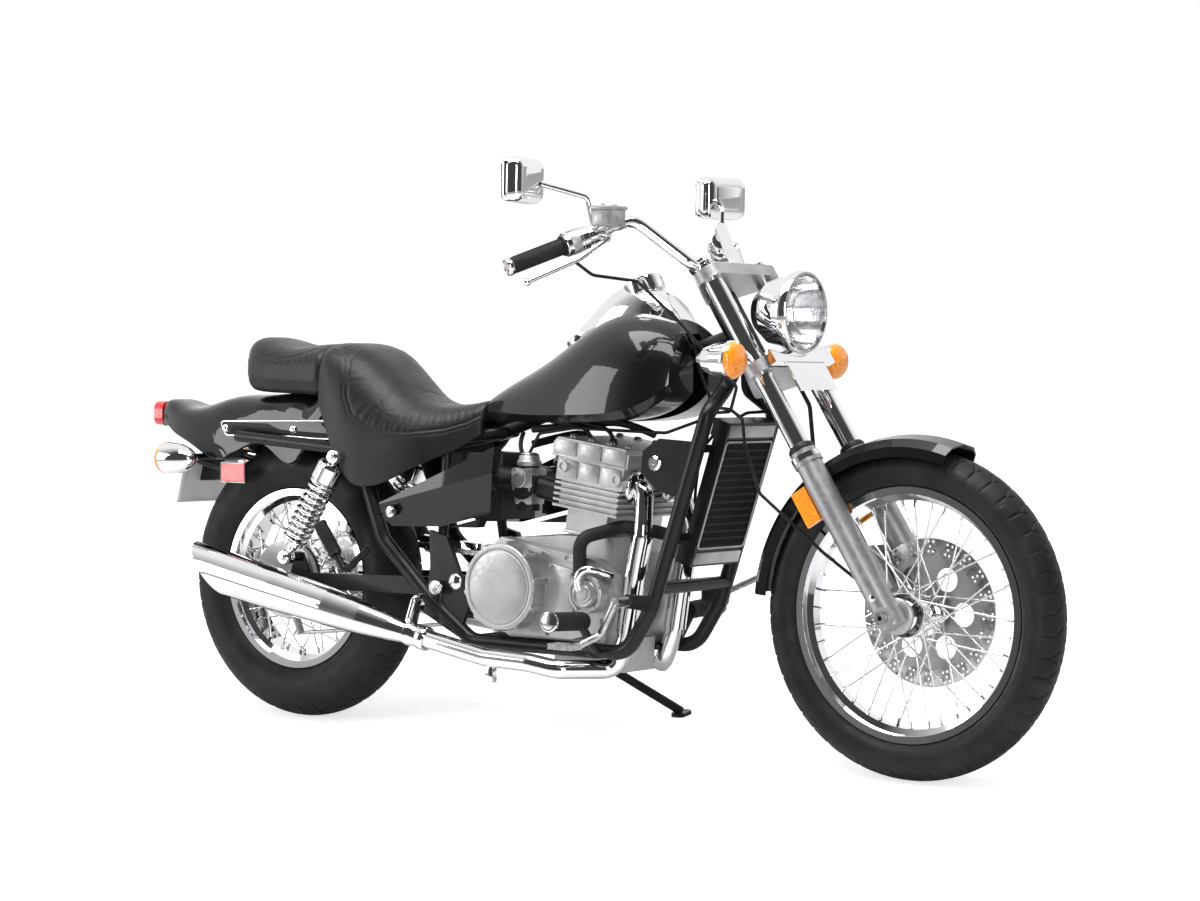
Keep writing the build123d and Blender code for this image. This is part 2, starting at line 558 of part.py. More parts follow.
# Swingarm with its pivot bolt and the rear axle
SHOCK_EYE_IN = 131.0
ARM_H = 36.0
swingarm = across(PIVOT_X, PIVOT_Z, -ARM_OUT, ARM_OUT, 21)
arm_outline = [
    (PIVOT_X, PIVOT_Z + 20), (PIVOT_X, PIVOT_Z - 20), (REAR_X - 30, REAR_Z - 17), (REAR_X - 42, REAR_Z),
    (REAR_X - 30, REAR_Z + 17),
]
for side in (-1, 1):
    swingarm += side_plate(arm_outline, *sorted((side * ARM_IN, side * ARM_OUT)))
    low = SHOCK_FOOT if side < 0 else mirrored(SHOCK_FOOT)
    lug = [(low.X - 26, REAR_Z + 10), (low.X - 11, low.Z + 9), (low.X + 11, low.Z + 9), (low.X + 36, REAR_Z + 10)]
    swingarm += side_plate(lug, *sorted((side * (ARM_IN + 4), side * (ARM_OUT - 2))))
    swingarm += across(low.X, low.Z, *sorted((side * (ARM_IN + 6), side * (SHOCK_EYE_IN - SEAT_GAP))), 11)
swingarm += across(PIVOT_X - 110, PIVOT_Z - 4, -ARM_OUT, ARM_OUT, 15)
swingarm -= belt(SPROCKET_R + 6, 46, SPROCKET_Y - 13, SPROCKET_Y + 11)
swingarm -= across(PIVOT_X, PIVOT_Z, -140, 140, AXLE_R)
swingarm -= across(REAR_X, REAR_Z, -160, 160, AXLE_R + 0.02)
pivot_bolt = across(PIVOT_X, PIVOT_Z, -RAIL_HALF - 14, RAIL_HALF + 14, AXLE_R - 0.02)
pivot_bolt += across(PIVOT_X, PIVOT_Z, -RAIL_HALF - 21, -RAIL_HALF - 14, 15)
pivot_bolt += across(PIVOT_X, PIVOT_Z, RAIL_HALF + 14, RAIL_HALF + 21, 15)
rear_axle = across(REAR_X, REAR_Z, -ARM_OUT, ARM_OUT, AXLE_R)
rear_axle += across(REAR_X, REAR_Z, -ARM_OUT - 12, -ARM_OUT, 14)
rear_axle += across(REAR_X, REAR_Z, ARM_OUT, ARM_OUT + 12, 14)
rear_axle += across(REAR_X, REAR_Z, SPROCKET_Y + 3.5, ARM_IN - SEAT_GAP, 14)

# Rear brake panel with its lever and torque rod
rear_brake_panel = across(REAR_X, REAR_Z, -82, -67, DRUM_R - 4)
rear_brake_panel += across(REAR_X, REAR_Z, -ARM_IN + SEAT_GAP, -82, 20)
rear_brake_panel += rod((REAR_X + 30, -86, REAR_Z - 60), (REAR_X + 60, -89, REAR_Z - 118), 7)
rear_brake_panel += rod((REAR_X + 60, -89, REAR_Z - 118), (PIVOT_X - 10, -89, PIVOT_Z - 84), 4.5)
rear_brake_panel -= across(REAR_X, REAR_Z, -200, 0, AXLE_R + 0.02)

# Shock absorbers
def shock_at(foot, top):
    """Damper, ringed spring, cap and the two eyes."""
    way = (top - foot).normalized()
    length = (top - foot).length
    outline = [(0, 0), (0, 17), (40, 17), (40, 26)]
    turns = 9
    spring_low = 46.0
    spring_high = length - 62
    pitch = (spring_high - spring_low) / turns
    for turn in range(turns):
        base = spring_low + turn * pitch
        outline += [(base, 23), (base + pitch * 0.25, 30), (base + pitch * 0.55, 30), (base + pitch * 0.8, 23)]
    outline += [(spring_high, 26), (length - 56, 31), (length - 18, 31), (length - 14, 14), (length, 14), (length, 0)]
    face = make_face(Polyline(*[(r, 0, s) for s, r in outline], close=True))
    return Plane(origin=tuple(foot), z_dir=way) * revolve(face, Axis.Z)


shock = shock_at(SHOCK_FOOT, SHOCK_TOP)
shock += across(SHOCK_TOP.X, SHOCK_TOP.Z, SHOCK_TOP.Y - 14, SHOCK_TOP.Y + 13.5, 15)
shock += across(SHOCK_FOOT.X, SHOCK_FOOT.Z, SHOCK_FOOT.Y - 17, -SHOCK_EYE_IN, 17)
shocks = both_sides(shock)

# Chain loop round both sprockets
chain_y = (SPROCKET_Y - CHAIN_W / 2, SPROCKET_Y + CHAIN_W / 2)
drive_chain = belt(CHAIN_R, FRONT_CHAIN_R, *chain_y) - belt(CHAIN_R - CHAIN_H / 2, FRONT_CHAIN_R - CHAIN_H / 2, *chain_y)

# Chain guard over the upper run
guard_outline = [
    (REAR_X - 40, REAR_Z + 122), (REAR_X + 60, REAR_Z + 124), (PIVOT_X - 60, PIVOT_Z + 82),
    (PIVOT_X - 60, PIVOT_Z + 66), (REAR_X + 60, REAR_Z + 112), (REAR_X - 40, REAR_Z + 112),
]
chain_guard = side_plate(guard_outline, SPROCKET_Y - 9, SPROCKET_Y + 14)

# Engine: crankcase, cylinders with fins, head, covers
ENGINE_TILT = 7.6
CASE_HALF = 111.5
case_outline = [
    (PIVOT_X + 128, 262), (PIVOT_X + 190, 228), (58, 218), (118, 226), (136, 300), (138, 420),
    (126, 456), (0, 456), (-40, 452), (PIVOT_X + 180, 446), (PIVOT_X + 128, 400),
]
crankcase = side_plate(case_outline, -CASE_HALF, CASE_HALF)
crankcase += block((-40, 86), (-70, 70), (182, 232))
crankcase += block((84, 132), (-56, 56), (170, 240))
crankcase -= block((PIVOT_X + 40, PIVOT_X + 168), (SPROCKET_Y - 14, SPROCKET_Y + 14), (280, 410))
crankcase -= across(CRADLE_X - 150, RAIL_Z, -200, 200, FRAME_TUBE_R - 2 + PART_GAP)
crankcase = max(crankcase.solids(), key=lambda s: s.volume)
TILT = Plane(origin=(58, 0, 457), x_dir=(math.cos(math.radians(ENGINE_TILT)), 0, -math.sin(math.radians(ENGINE_TILT))),
             z_dir=(math.sin(math.radians(ENGINE_TILT)), 0, math.cos(math.radians(ENGINE_TILT))))
case_top = side_plate([(x, z + 0.2) for x, z in case_outline], -200, 200)
cylinders = TILT * Pos(0, 0, 0.3) * Box(104, 204, 108, align=BOTTOM)
cylinders += TILT * Pos(0, 0, 52) * Box(148, 212, 56, align=BOTTOM)
for k in range(5):
    cylinders += TILT * Pos(0, 0, 52 + 12 * k) * Box(168, 232, 5, align=BOTTOM)
cylinders -= case_top
cylinder_head = TILT * Pos(0, 0, 108.6) * Box(172, 224, 50, align=BOTTOM)
head_cover_outline = [(-98, 158), (98, 158), (98, 186), (88, 198), (-88, 198), (-98, 186)]
cover_face = make_face(Polyline(*[(x, 0, z) for x, z in head_cover_outline], close=True))
cylinder_head += TILT * (Pos(0, -118, 0) * extrude(cover_face, amount=236, dir=(0, 1, 0)))

# Right engine cover with the round clutch cover and the coolant pump
CLUTCH = (-101.0, 345.0)
right_outline = [
    (-186, 300), (-150, 246), (60, 242), (132, 262), (166, 330), (160, 378), (112, 412), (30, 424), (-130, 448),
    (-186, 400),
]
right_cover = side_plate(right_outline, -CASE_HALF - 34, -CASE_HALF - 0.3)
right_cover += across(*CLUTCH, -CASE_HALF - 74, -CASE_HALF - 20, 91)
right_cover += across(*CLUTCH, -CASE_HALF - 78, -CASE_HALF - 70, 78)
for k in range(10):
    angle = math.radians(36 * k + 10)
    right_cover += across(CLUTCH[0] + 90 * math.cos(angle), CLUTCH[1] + 90 * math.sin(angle), -CASE_HALF - 72, -CASE_HALF - 20, 8)
PUMP = (116.0, 343.0)
right_cover += across(*PUMP, -CASE_HALF - 66, -CASE_HALF - 30, 42)
right_cover += across(*PUMP, -CASE_HALF - 76, -CASE_HALF - 60, 20)
hose = bent_tube([
    (PUMP[0] - 26, -CASE_HALF - 50, PUMP[1] + 20), (PUMP[0] - 26, -CASE_HALF - 52, PUMP[1] + 113),
    (PUMP[0] + 24, -76, PUMP[1] + 137), (PUMP[0] + 90, -46, PUMP[1] + 127), (CRADLE_X + 62, -48, 452),
], 14, [30, 36, 30])

# Left engine cover: alternator and the sprocket cover
left_outline = [
    (PIVOT_X + 98, 320), (PIVOT_X + 160, 262), (60, 243), (132, 280), (142, 370), (80, 420), (-60, 430),
    (PIVOT_X + 130, 420), (PIVOT_X + 98, 380),
]
left_cover = side_plate(left_outline, CASE_HALF + 0.3, CASE_HALF + 26)
left_cover += across(50, 338, CASE_HALF + 20, CASE_HALF + 58, 78)

# Carburettors and airbox
CARB_X = -118.0
intake = across(CARB_X, 566, -92, 92, 22)
for side in (-1, 1):
    intake += across(CARB_X, 560, *sorted((side * 30, side * 92)), 34)
    intake += Pos(CARB_X, side * 66, 600) * Cylinder(21, 46)
    intake += rod((CARB_X, side * 60, 560), (10, side * 60, 534), 24)
    intake += rod((CARB_X, side * 60, 560), (CARB_X - 90, side * 58, 570), 27)
    intake += Pos(CARB_X, side * 66, 520) * Cylinder(25, 36)
intake += block((PIVOT_X + 4, PIVOT_X + 112), (-60, 60), (478, 622))
intake -= TILT * Box(168.6, 300, 108.3, align=BOTTOM)
intake -= TILT * Pos(0, 0, 108) * Box(172.6, 300, 50.6, align=BOTTOM)
intake -= TILT * Pos(0, 0, 158) * Box(196.6, 300, 60, align=BOTTOM)
intake = max(intake.solids(), key=lambda s: s.volume)

# Radiator between the down tubes
RADIATOR_HALF = 92.0
radiator_bottom = Vector(CRADLE_X + 50, 0, 410)
radiator_top = Vector(HEAD_X + 16, 0, 708)
radiator_way = (radiator_top - radiator_bottom).normalized()
RADIATOR = Plane(origin=tuple(radiator_bottom), x_dir=(radiator_way.Z, 0, -radiator_way.X), z_dir=tuple(radiator_way))
radiator_len = (radiator_top - radiator_bottom).length
radiator = RADIATOR * Box(38, 2 * RADIATOR_HALF, 36, align=BOTTOM)
radiator += RADIATOR * Pos(0, 0, radiator_len - 36) * Box(38, 2 * RADIATOR_HALF, 36, align=BOTTOM)
radiator += RADIATOR * Pos(0, 0, 30) * Box(26, 2 * RADIATOR_HALF - 12, radiator_len - 60, align=BOTTOM)
for k in range(15):
    z_bar = 44 + (radiator_len - 88) * k / 14
    radiator += RADIATOR * Pos(15, 0, z_bar) * Box(10, 2 * RADIATOR_HALF - 4, 4)
for side in (-1, 1):
    radiator += RADIATOR * Pos(12, side * (RADIATOR_HALF - 4), 20) * Box(18, 8, radiator_len - 40, align=BOTTOM)
    lug_y = sorted((side * (RADIATOR_HALF - 6), side * (RAIL_HALF - FRAME_TUBE_R - SEAT_GAP)))
    radiator += block((CRADLE_X + 42, CRADLE_X + 60), lug_y, (458, 474))
    radiator += block((CRADLE_X + 101, CRADLE_X + 118), lug_y, (642, 658))

# Exhaust: header pipe with its shield, collar and tapered slash-cut muffler
EXHAUST_Y = -185.0
PIPE_R = 20.0
MUFFLER_START = Vector(REAR_X + 482, EXHAUST_Y + 3, 224)
MUFFLER_END = Vector(REAR_X - 172, EXHAUST_Y, 348)
PORT = TILT.from_local_coords(Vector(86.3, -66, 118))
header_points = [
    tuple(PORT), tuple(TILT.from_local_coords(Vector(112, -66, 118))), (198, -90, 470), (176, -90, 360),
    (160, -88, 250), (134, -88, 180), (48, -178, 180), (-20, EXHAUST_Y, 190), (-140, EXHAUST_Y, 194),
    tuple(MUFFLER_START),
]
exhaust_right = bent_tube(header_points, PIPE_R, [24, 50, 90, 40, 36, 36, 40, 120])
muffler_way = (MUFFLER_END - MUFFLER_START).normalized()
muffler_outline = [
    (-14, 0), (-14, 24), (26, 24), (26, 22), (80, 29), (160, 37), (260, 43), (420, 48), (690, 50),
    (690, 45), (560, 45), (560, 0),
]
muffler_face = make_face(Polyline(*[(r, 0, s) for s, r in muffler_outline], close=True))
muffler = Plane(origin=tuple(MUFFLER_START), z_dir=muffler_way) * revolve(muffler_face, Axis.Z)
slash = [(REAR_X - 62, 260), (REAR_X - 182, 410), (REAR_X - 400, 410), (REAR_X - 400, 240)]
muffler -= side_plate(slash, -400, 0)
exhaust_right += muffler
exhaust_right += block((-132, -112), (EXHAUST_Y - 8, EXHAUST_Y + 8), (156, 190))
hanger_z = 308
exhaust_right += bent_tube(
    [(PIVOT_X - 34, -RAIL_HALF - 16.4, hanger_z), (PIVOT_X - 34, -174, hanger_z), (PIVOT_X - 50, EXHAUST_Y + 4, 244)], 7, 12,
)
exhaust_left = mirror(exhaust_right, about=Plane.XZ)

# Fuel tank: a teardrop over the backbone, hollow only where the backbone runs
tank_stations = [
    (HEAD_X - 626, 694, 744, 46), (HEAD_X - 560, 694, 778, 74), (HEAD_X - 470, 692, 822, 104),
    (HEAD_X - 370, 694, 884, 128), (HEAD_X - 280, 698, 926, 142), (HEAD_X - 200, 708, 930, 146),
    (HEAD_X - 140, 730, 912, 138), (HEAD_X - 100, 764, 878, 118),
]
tank_sections = [skin_section(x, low, high, half, 0.82, 16) for x, low, high, half in tank_stations]
fuel_tank = loft(tank_sections)
tunnel = side_plate(
    [(HEAD_X - 700, 600), (HEAD_X - 700, 724), (HEAD_X - 300, 826), (HEAD_X, 928), (HEAD_X, 600)],
    -BACKBONE_R - 8, BACKBONE_R + 8,
)
fuel_tank -= tunnel
neck_room = STEER * Cylinder(HEAD_TUBE_R + 74, 2000, align=BOTTOM)
fuel_tank -= neck_room

# Instrument console on the tank
console_stations = [
    (HEAD_X - 392, 872, 900, 34), (HEAD_X - 330, 890, 958, 46), (HEAD_X - 262, 900, 988, 52),
    (HEAD_X - 200, 900, 976, 50), (HEAD_X - 150, 890, 946, 40), (HEAD_X - 122, 880, 920, 24),
]
tank_console = loft([skin_section(x, low, high, half, 0.8, 8) for x, low, high, half in console_stations])
tank_console -= fuel_tank
tank_console = max(tank_console.solids(), key=lambda s: s.volume)
tank_console -= STEER * Cylinder(HEAD_TUBE_R + 74, 2000, align=BOTTOM)
tank_console = max(tank_console.solids(), key=lambda s: s.volume)

# Seats
rider_stations = [
    (HEAD_X - 634, 662, 737, 60), (HEAD_X - 680, 628, 727, 84), (HEAD_X - 726, 606, 723, 104),
    (HEAD_X - 780, 580, 728, 124), (HEAD_X - 826, 557, 746, 134), (HEAD_X - 880, 541, 788, 141),
    (HEAD_X - 926, 546, 824, 145), (HEAD_X - 956, 574, 842, 146), (HEAD_X - 989, 630, 852, 145),
    (HEAD_X - 1018, 692, 856, 141), (HEAD_X - 1040, 722, 856, 134),
]
rider_seat = loft([skin_section(x, low, high, half, 0.6, 14) for x, low, high, half in rider_stations])
passenger_stations = [
    (HEAD_X - 1043, 751, 852, 124), (HEAD_X - 1076, 750, 853, 121), (HEAD_X - 1173, 748, 848, 116),
    (HEAD_X - 1216, 748, 855, 113), (HEAD_X - 1256, 750, 864, 105), (HEAD_X - 1284, 754, 866, 91),
    (HEAD_X - 1302, 762, 858, 72), (HEAD_X - 1316, 784, 836, 42),
]
passenger_seat = loft([skin_section(x, low, high, half, 0.6, 14) for x, low, high, half in passenger_stations])
hollow_stations = [
    (HEAD_X - 600, 686, 50), (HEAD_X - 700, 684, 94), (HEAD_X - 780, 690, 116), (HEAD_X - 880, 700, 131),
    (HEAD_X - 970, 724, 137), (HEAD_X - 1060, 748, 130),
]
rider_seat -= loft([skin_section(x, 500, top, half, 0.35, 14) for x, top, half in hollow_stations])
for side in (-1, 1):
    foot = SHOCK_FOOT if side < 0 else mirrored(SHOCK_FOOT)
    top = SHOCK_TOP if side < 0 else mirrored(SHOCK_TOP)
    rider_seat -= rod(tuple(foot), tuple(top + (top - foot).normalized() * 24), 36)
    rider_seat -= rod((PIVOT_X - 164, side * (RAIL_HALF - 4), 424), (PIVOT_X - 260, side * 111, 636), FRAME_TUBE_R + 2)
    rider_seat -= rod((PIVOT_X - 2, side * RAIL_HALF, 296), (PIVOT_X - 27, side * 75, 662), FRAME_TUBE_R - 4)
rider_seat = max(rider_seat.solids(), key=lambda s: s.volume)

# Rear fender: a shell over the wheel
fender_stations = [
    (REAR_X - 424, 654, 712, 44), (REAR_X - 384, 646, 716, 62), (REAR_X - 330, 624, 703, 80),
    (REAR_X - 287, 608, 704, 89), (REAR_X - 238, 586, 716, 95), (REAR_X - 150, 592, 733, 98),
    (REAR_X - 40, 606, 738, 98), (REAR_X + 60, 602, 738, 98), (REAR_X + 140, 574, 738, 98),
]
rear_fender = loft([skin_section(x, low, high, half, 0.5, 8) for x, low, high, half in fender_stations])
inner_stations = [
    (x + (10 if k == 0 else 0), low - 60, high - 5, half - 4) for k, (x, low, high, half) in enumerate(fender_stations)
]
inner_stations[-1] = (REAR_X + 140, 514, 733, 94)
rear_fender -= loft([skin_section(x, low, high, half, 0.5, 8) for x, low, high, half in inner_stations])
rear_fender = max(rear_fender.solids(), key=lambda s: s.volume)

# Side covers
cover_outline = [
    (-447, 508), (-132, 640), (-138, 580), (-160, 500), (-176, 466), (-424, 458), (-446, 480),
]
COVER_OUT = RAIL_HALF + 44
cover = side_plate(cover_outline, -COVER_OUT, -RAIL_HALF - 17)
CREASE_START = Vector(-452, -COVER_OUT, 506)
CREASE_END = Vector(-128, -COVER_OUT, 588)
crease = Plane(origin=tuple(CREASE_START), x_dir=(0, 1, 0), z_dir=tuple((CREASE_END - CREASE_START).normalized()))
crease_length = (CREASE_END - CREASE_START).length
slope_face = crease * make_face(Polyline((-5, -2), (-5, -90), (30, -90), (0, -2), close=True))
cover -= extrude(slope_face, amount=crease_length, dir=tuple((CREASE_END - CREASE_START).normalized()))
cover += across(-408, 490, -COVER_OUT - 4, -COVER_OUT + 4, 11)
side_covers = both_sides(cover)

# Tail light
tail_light = Pos(REAR_X - 437.3, 0, 684) * fillet(Box(26, 92, 56).edges().filter_by(Axis.X), 18)

# Plate holder with the rear turn signals and side reflectors
tail_bracket = block((REAR_X - 306, REAR_X - 226), (-32, 32), (590, 604))
tail_bracket += block((REAR_X - 306, REAR_X - 290), (-18, 18), (596, 696))
tail_bracket += rod((REAR_X - 300, -146, 584), (REAR_X - 300, 146, 584), 9)
plate = Pos(REAR_X - 318, 0, 530) * Rot(0, 14, 0) * Box(4, 178, 102)
tail_bracket += plate
tail_bracket += Pos(REAR_X - 306, 0, 560) * Box(24, 60, 60)
for side in (-1, 1):
    body = Pos(REAR_X - 300, side * 150, 584) * Rot(0, 180, 0) * revolve(bullet_face, Axis.X)
    tail_bracket += body
    tail_bracket += rod((REAR_X - 300, side * 96, 584), (REAR_X - 176, side * 96, 560), 5)
    tail_bracket += Pos(REAR_X - 144, side * 97, 555) * Box(72, 8, 42)

# Foot pegs: the rider's, and the passenger's folded up
PEG = (126.0, 287.0)
peg = rod((PEG[0], -194, PEG[1]), (PEG[0], -318, PEG[1] + 6), 18)
peg += bent_tube([(PEG[0], -RAIL_HALF - 16.3, 220), (PEG[0], -166, 238), (PEG[0], -210, PEG[1])], 9, 12)
peg -= rod((PEG[0] - 40, -RAIL_HALF, RAIL_Z), (PEG[0] + 40, -RAIL_HALF, RAIL_Z), FRAME_TUBE_R + SEAT_GAP)
passenger_peg = rod((-622, -166, 455), (-572, -166, 387), 13)
passenger_peg += bent_tube([(-574, -166, 390), (-546, -166, 352), (-498, -146, 404)], 8, 10)
passenger_peg = both_sides(passenger_peg)
foot_pegs = Compound([*both_sides(peg).solids(), *passenger_peg.solids()])

# Foot pedals: brake on the right, gear lever on the left
BRAKE_PIVOT = (206.0, 330.0)
brake_pedal = across(*BRAKE_PIVOT, -200, -RAIL_HALF - 20 - SEAT_GAP, 11)
brake_pedal += bent_tube(
    [(BRAKE_PIVOT[0], -196, BRAKE_PIVOT[1]), (176, -204, 262), (150, -240, 242), (140, -262, 240)], 8, [20, 14],
)
brake_pedal += Pos(132, -268, 240) * Box(58, 40, 12)
gear_lever = across(*BRAKE_PIVOT, RAIL_HALF + 20 + SEAT_GAP, 220, 9)
gear_lever += rod((BRAKE_PIVOT[0], 216, 330), (300, 218, 372), 7)
gear_lever += across(300, 372, 208, 256, 11)
foot_pedals = Compound([*brake_pedal.solids(), *gear_lever.solids()])

# Side stand: knuckle, leg and foot, deployed
STAND_PIVOT = Vector(-60, 150, 156)
STAND_FOOT_Y = 284.0
STAND_FOOT_X = 50.0
FLOOR_NORMAL = Vector(0, -math.sin(math.radians(LEAN)), LEAN_COS)
STAND_FOOT = Vector(STAND_FOOT_X, STAND_FOOT_Y, STAND_FOOT_Y * math.tan(math.radians(LEAN)))
leg_end = STAND_FOOT + FLOOR_NORMAL * 9
stand_out = (leg_end - STAND_PIVOT).normalized()
stand_folded = Vector(-0.99, 0.10, -0.04).normalized()
STAND_AXIS = stand_out.cross(stand_folded).normalized()
STAND_TRAVEL = stand_out.get_angle(stand_folded)
KNUCKLE_R = 15.0
KNUCKLE_HALF = 11.0
STAND_BOLT_R = 7.0


def along_stand(distance):
    """A point on the stand's hinge axis."""
    return tuple(STAND_PIVOT + STAND_AXIS * distance)


side_stand = rod(along_stand(-KNUCKLE_HALF), along_stand(KNUCKLE_HALF), KNUCKLE_R)
side_stand += rod(tuple(STAND_PIVOT), tuple(leg_end), 10)
side_stand += Plane(origin=tuple(STAND_FOOT), z_dir=FLOOR_NORMAL) * Pos(0, 0, 4) * fillet(
    Box(46, 34, 8).edges().filter_by(Axis.Z), 12)
side_stand -= rod(along_stand(-20), along_stand(20), STAND_BOLT_R + RUNNING_GAP)
EAR_START = KNUCKLE_HALF + PART_GAP
frame += rod(along_stand(-EAR_START - 6), along_stand(EAR_START + 15), STAND_BOLT_R)
frame += rod(along_stand(-EAR_START - 6), along_stand(-EAR_START), 12)
frame += rod(along_stand(EAR_START), along_stand(EAR_START + 15), 13)
for shift in (-7, 7):
    lug_start = Vector(*along_stand(EAR_START + 8.5)) + Vector(shift, 0, 0)
    frame += rod(tuple(lug_start), (STAND_PIVOT.X + shift, RAIL_HALF, RAIL_Z), 6.5)

# Cables held along the machine
CABLE_R = 3.5


def held_cable(points, bends):
    """A cable held along the machine; the radii of its arcs are printed."""
    path = FilletPolyline(*points, radius=bends)
    print("cable arc radii", sorted({round(e.radius, 1) for e in path.edges() if e.geom_type == GeomType.CIRCLE}))
    return sweep(Plane(origin=path @ 0, z_dir=path % 0) * Circle(CABLE_R), path=path)


throttle_points = [
    (138, -264, 1028), (166, -238, 1000), (222, -160, 990), steer_point(-62, -98, 1130),
    steer_point(-46, -84, 1040), steer_point(-20, -80, 940), (400, -74, 726), (350, -64, 722),
    (318, -62, 706), (236, -66, 678),
    (110, -66, 680), (0, -66, 682), (-92, -66, 668), (-118, -66, 625),
]
throttle_cable = held_cable(throttle_points, 20)
clutch_points = [
    (148, 243, 1047), (184, 215, 1020), (234, 150, 1004), steer_point(-62, 98, 1130),
    steer_point(-46, 84, 1040), steer_point(-20, 80, 940), (400, 74, 726), (350, 66, 722),
    (318, 66, 706), (256, 96, 682),
    (196, 123, 636), (186, 123, 560), (180, 125, 490), (158, 126, 440), (128, 126, 404),
]
clutch_cable = held_cable(clutch_points, 20)
control_cables = Compound([*throttle_cable.solids(), *clutch_cable.solids()])
speedometer_points = [
    (FRONT_X - 22, -63, FRONT_Z + 26), (FRONT_X - 70, -63, FRONT_Z + 50), (FRONT_X - 170, -70, FRONT_Z + 116),
    (FRONT_X - 320, -78, FRONT_Z + 230), (FRONT_X - 366, -66, FRONT_Z + 326), (418, -56, 712),
    (382, -46, 730), (338, -42, 734), (306, -44, 800), (284, -40, 866), (252, -22, 894),
]
speedometer_cable = held_cable(speedometer_points, 20)
speedometer_cable -= tank_console
speedometer_cable = max(speedometer_cable.solids(), key=lambda s: s.volume)

# Brake hose on the fork's left, from the lower yoke to the caliper
hose_foot = CALIPER_S + 48
brake_hose = bent_tube(
    [
        steer_point(24, 78, LOWER_YOKE_S - YOKE_T / 2 - SEAT_GAP), steer_point(24, 78, 866),
        steer_point(-22, 84, 780), steer_point(-42, 88, 660), steer_point(-13, 81, 604),
        steer_point(-13, 81, hose_foot + SEAT_GAP),
    ],
    4.5, [30, 40, 30, 20],
)

# The coolant hose stops at the pump, the case, the cylinders and the radiator
hose -= right_cover
hose -= crankcase
hose -= cylinders
hose -= radiator
hose = max(hose.solids(), key=lambda s: s.volume)

# The pieces, each leaned over and moved to the shared frame
pieces = {
    "front_tyre": front_tyre,
    "front_wheel": front_wheel,
    "brake_disc": brake_disc,
    "rear_tyre": rear_tyre,
    "rear_wheel": rear_wheel,
    "rear_sprocket": rear_sprocket,
    "fork_yokes": yokes,
    "fork_tubes": fork_tubes,
    "fork_sliders": fork_sliders,
    "front_axle": front_axle,
    "handlebar": handlebar,
    "grips": grips,
    "hand_controls": hand_controls,
    "mirrors": mirrors,
    "headlight": headlight,
    "headlight_lens": headlight_lens,
    "front_signals": front_signals,
    "front_fender": front_fender,
    "front_reflectors": front_reflectors,
    "brake_caliper": brake_caliper,
    "brake_hose": brake_hose,
    "frame": frame,
    "swingarm": swingarm,
    "pivot_bolt": pivot_bolt,
    "rear_axle": rear_axle,
    "rear_brake_panel": rear_brake_panel,
    "shocks": shocks,
    "drive_chain": drive_chain,
    "chain_guard": chain_guard,
    "crankcase": crankcase,
    "cylinders": cylinders,
    "cylinder_head": cylinder_head,
    "right_engine_cover": right_cover,
    "left_engine_cover": left_cover,
    "coolant_hose": hose,
    "intake": intake,
    "radiator": radiator,
    "exhaust_right": exhaust_right,
    "exhaust_left": exhaust_left,
    "fuel_tank": fuel_tank,
    "tank_console": tank_console,
    "rider_seat": rider_seat,
    "passenger_seat": passenger_seat,
    "rear_fender": rear_fender,
    "side_covers": side_covers,
    "tail_light": tail_light,
    "tail_bracket": tail_bracket,
    "foot_pegs": foot_pegs,
    "foot_pedals": foot_pedals,
    "side_stand": side_stand,
    "control_cables": control_cables,
    "speedometer_cable": speedometer_cable,
}
leaned = {name: Compound(piece.solids()).rotate(Axis.X, -LEAN) for name, piece in pieces.items()}
box = Compound(list(leaned.values())).bounding_box()
ORIGIN = Vector((box.min.X + box.max.X) / 2, (box.min.Y + box.max.Y) / 2, 0)
for name, piece in leaned.items():
    export_step(piece.moved(Location(-ORIGIN)), f"parts/{name}.step")


def in_frame(point):
    """An upright point in metres in the shared frame."""
    return [round(value / 1000, 6) for value in tuple(Vector(*point).rotate(Axis.X, -LEAN) - ORIGIN)]


def way_in_frame(way):
    """An upright direction in the shared frame."""
    return [round(value, 8) for value in tuple(Vector(*way).rotate(Axis.X, -LEAN))]


print("box", box.min, box.max, "origin", ORIGIN)
print("front wheel", in_frame((FRONT_X, 0, FRONT_Z)), "rear wheel", in_frame((REAR_X, 0, REAR_Z)))
print("axle direction", way_in_frame((0, 1, 0)))
print("steering", in_frame(STEER.origin), way_in_frame(STEER.z_dir))
print("stand", in_frame(STAND_PIVOT), way_in_frame(STAND_AXIS), "travel", STAND_TRAVEL)
print("bar middle", in_frame(BAR_MIDDLE), "tube middle", in_frame(steer_point(FORK_OFFSET, -FORK_HALF, 1046)))
print("tube middle left", in_frame(steer_point(FORK_OFFSET, FORK_HALF, 1046)))
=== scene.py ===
# %% [markdown]
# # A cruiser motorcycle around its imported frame
# The solids of the machine come from the CAD model. This script gives every one of them its
# finish, adds the pieces that are too fine for the solids, and lights the whole in a white studio.

# %% Load the frame
import bpy
import json
import math
import numpy as np
from mathutils import Matrix, Vector


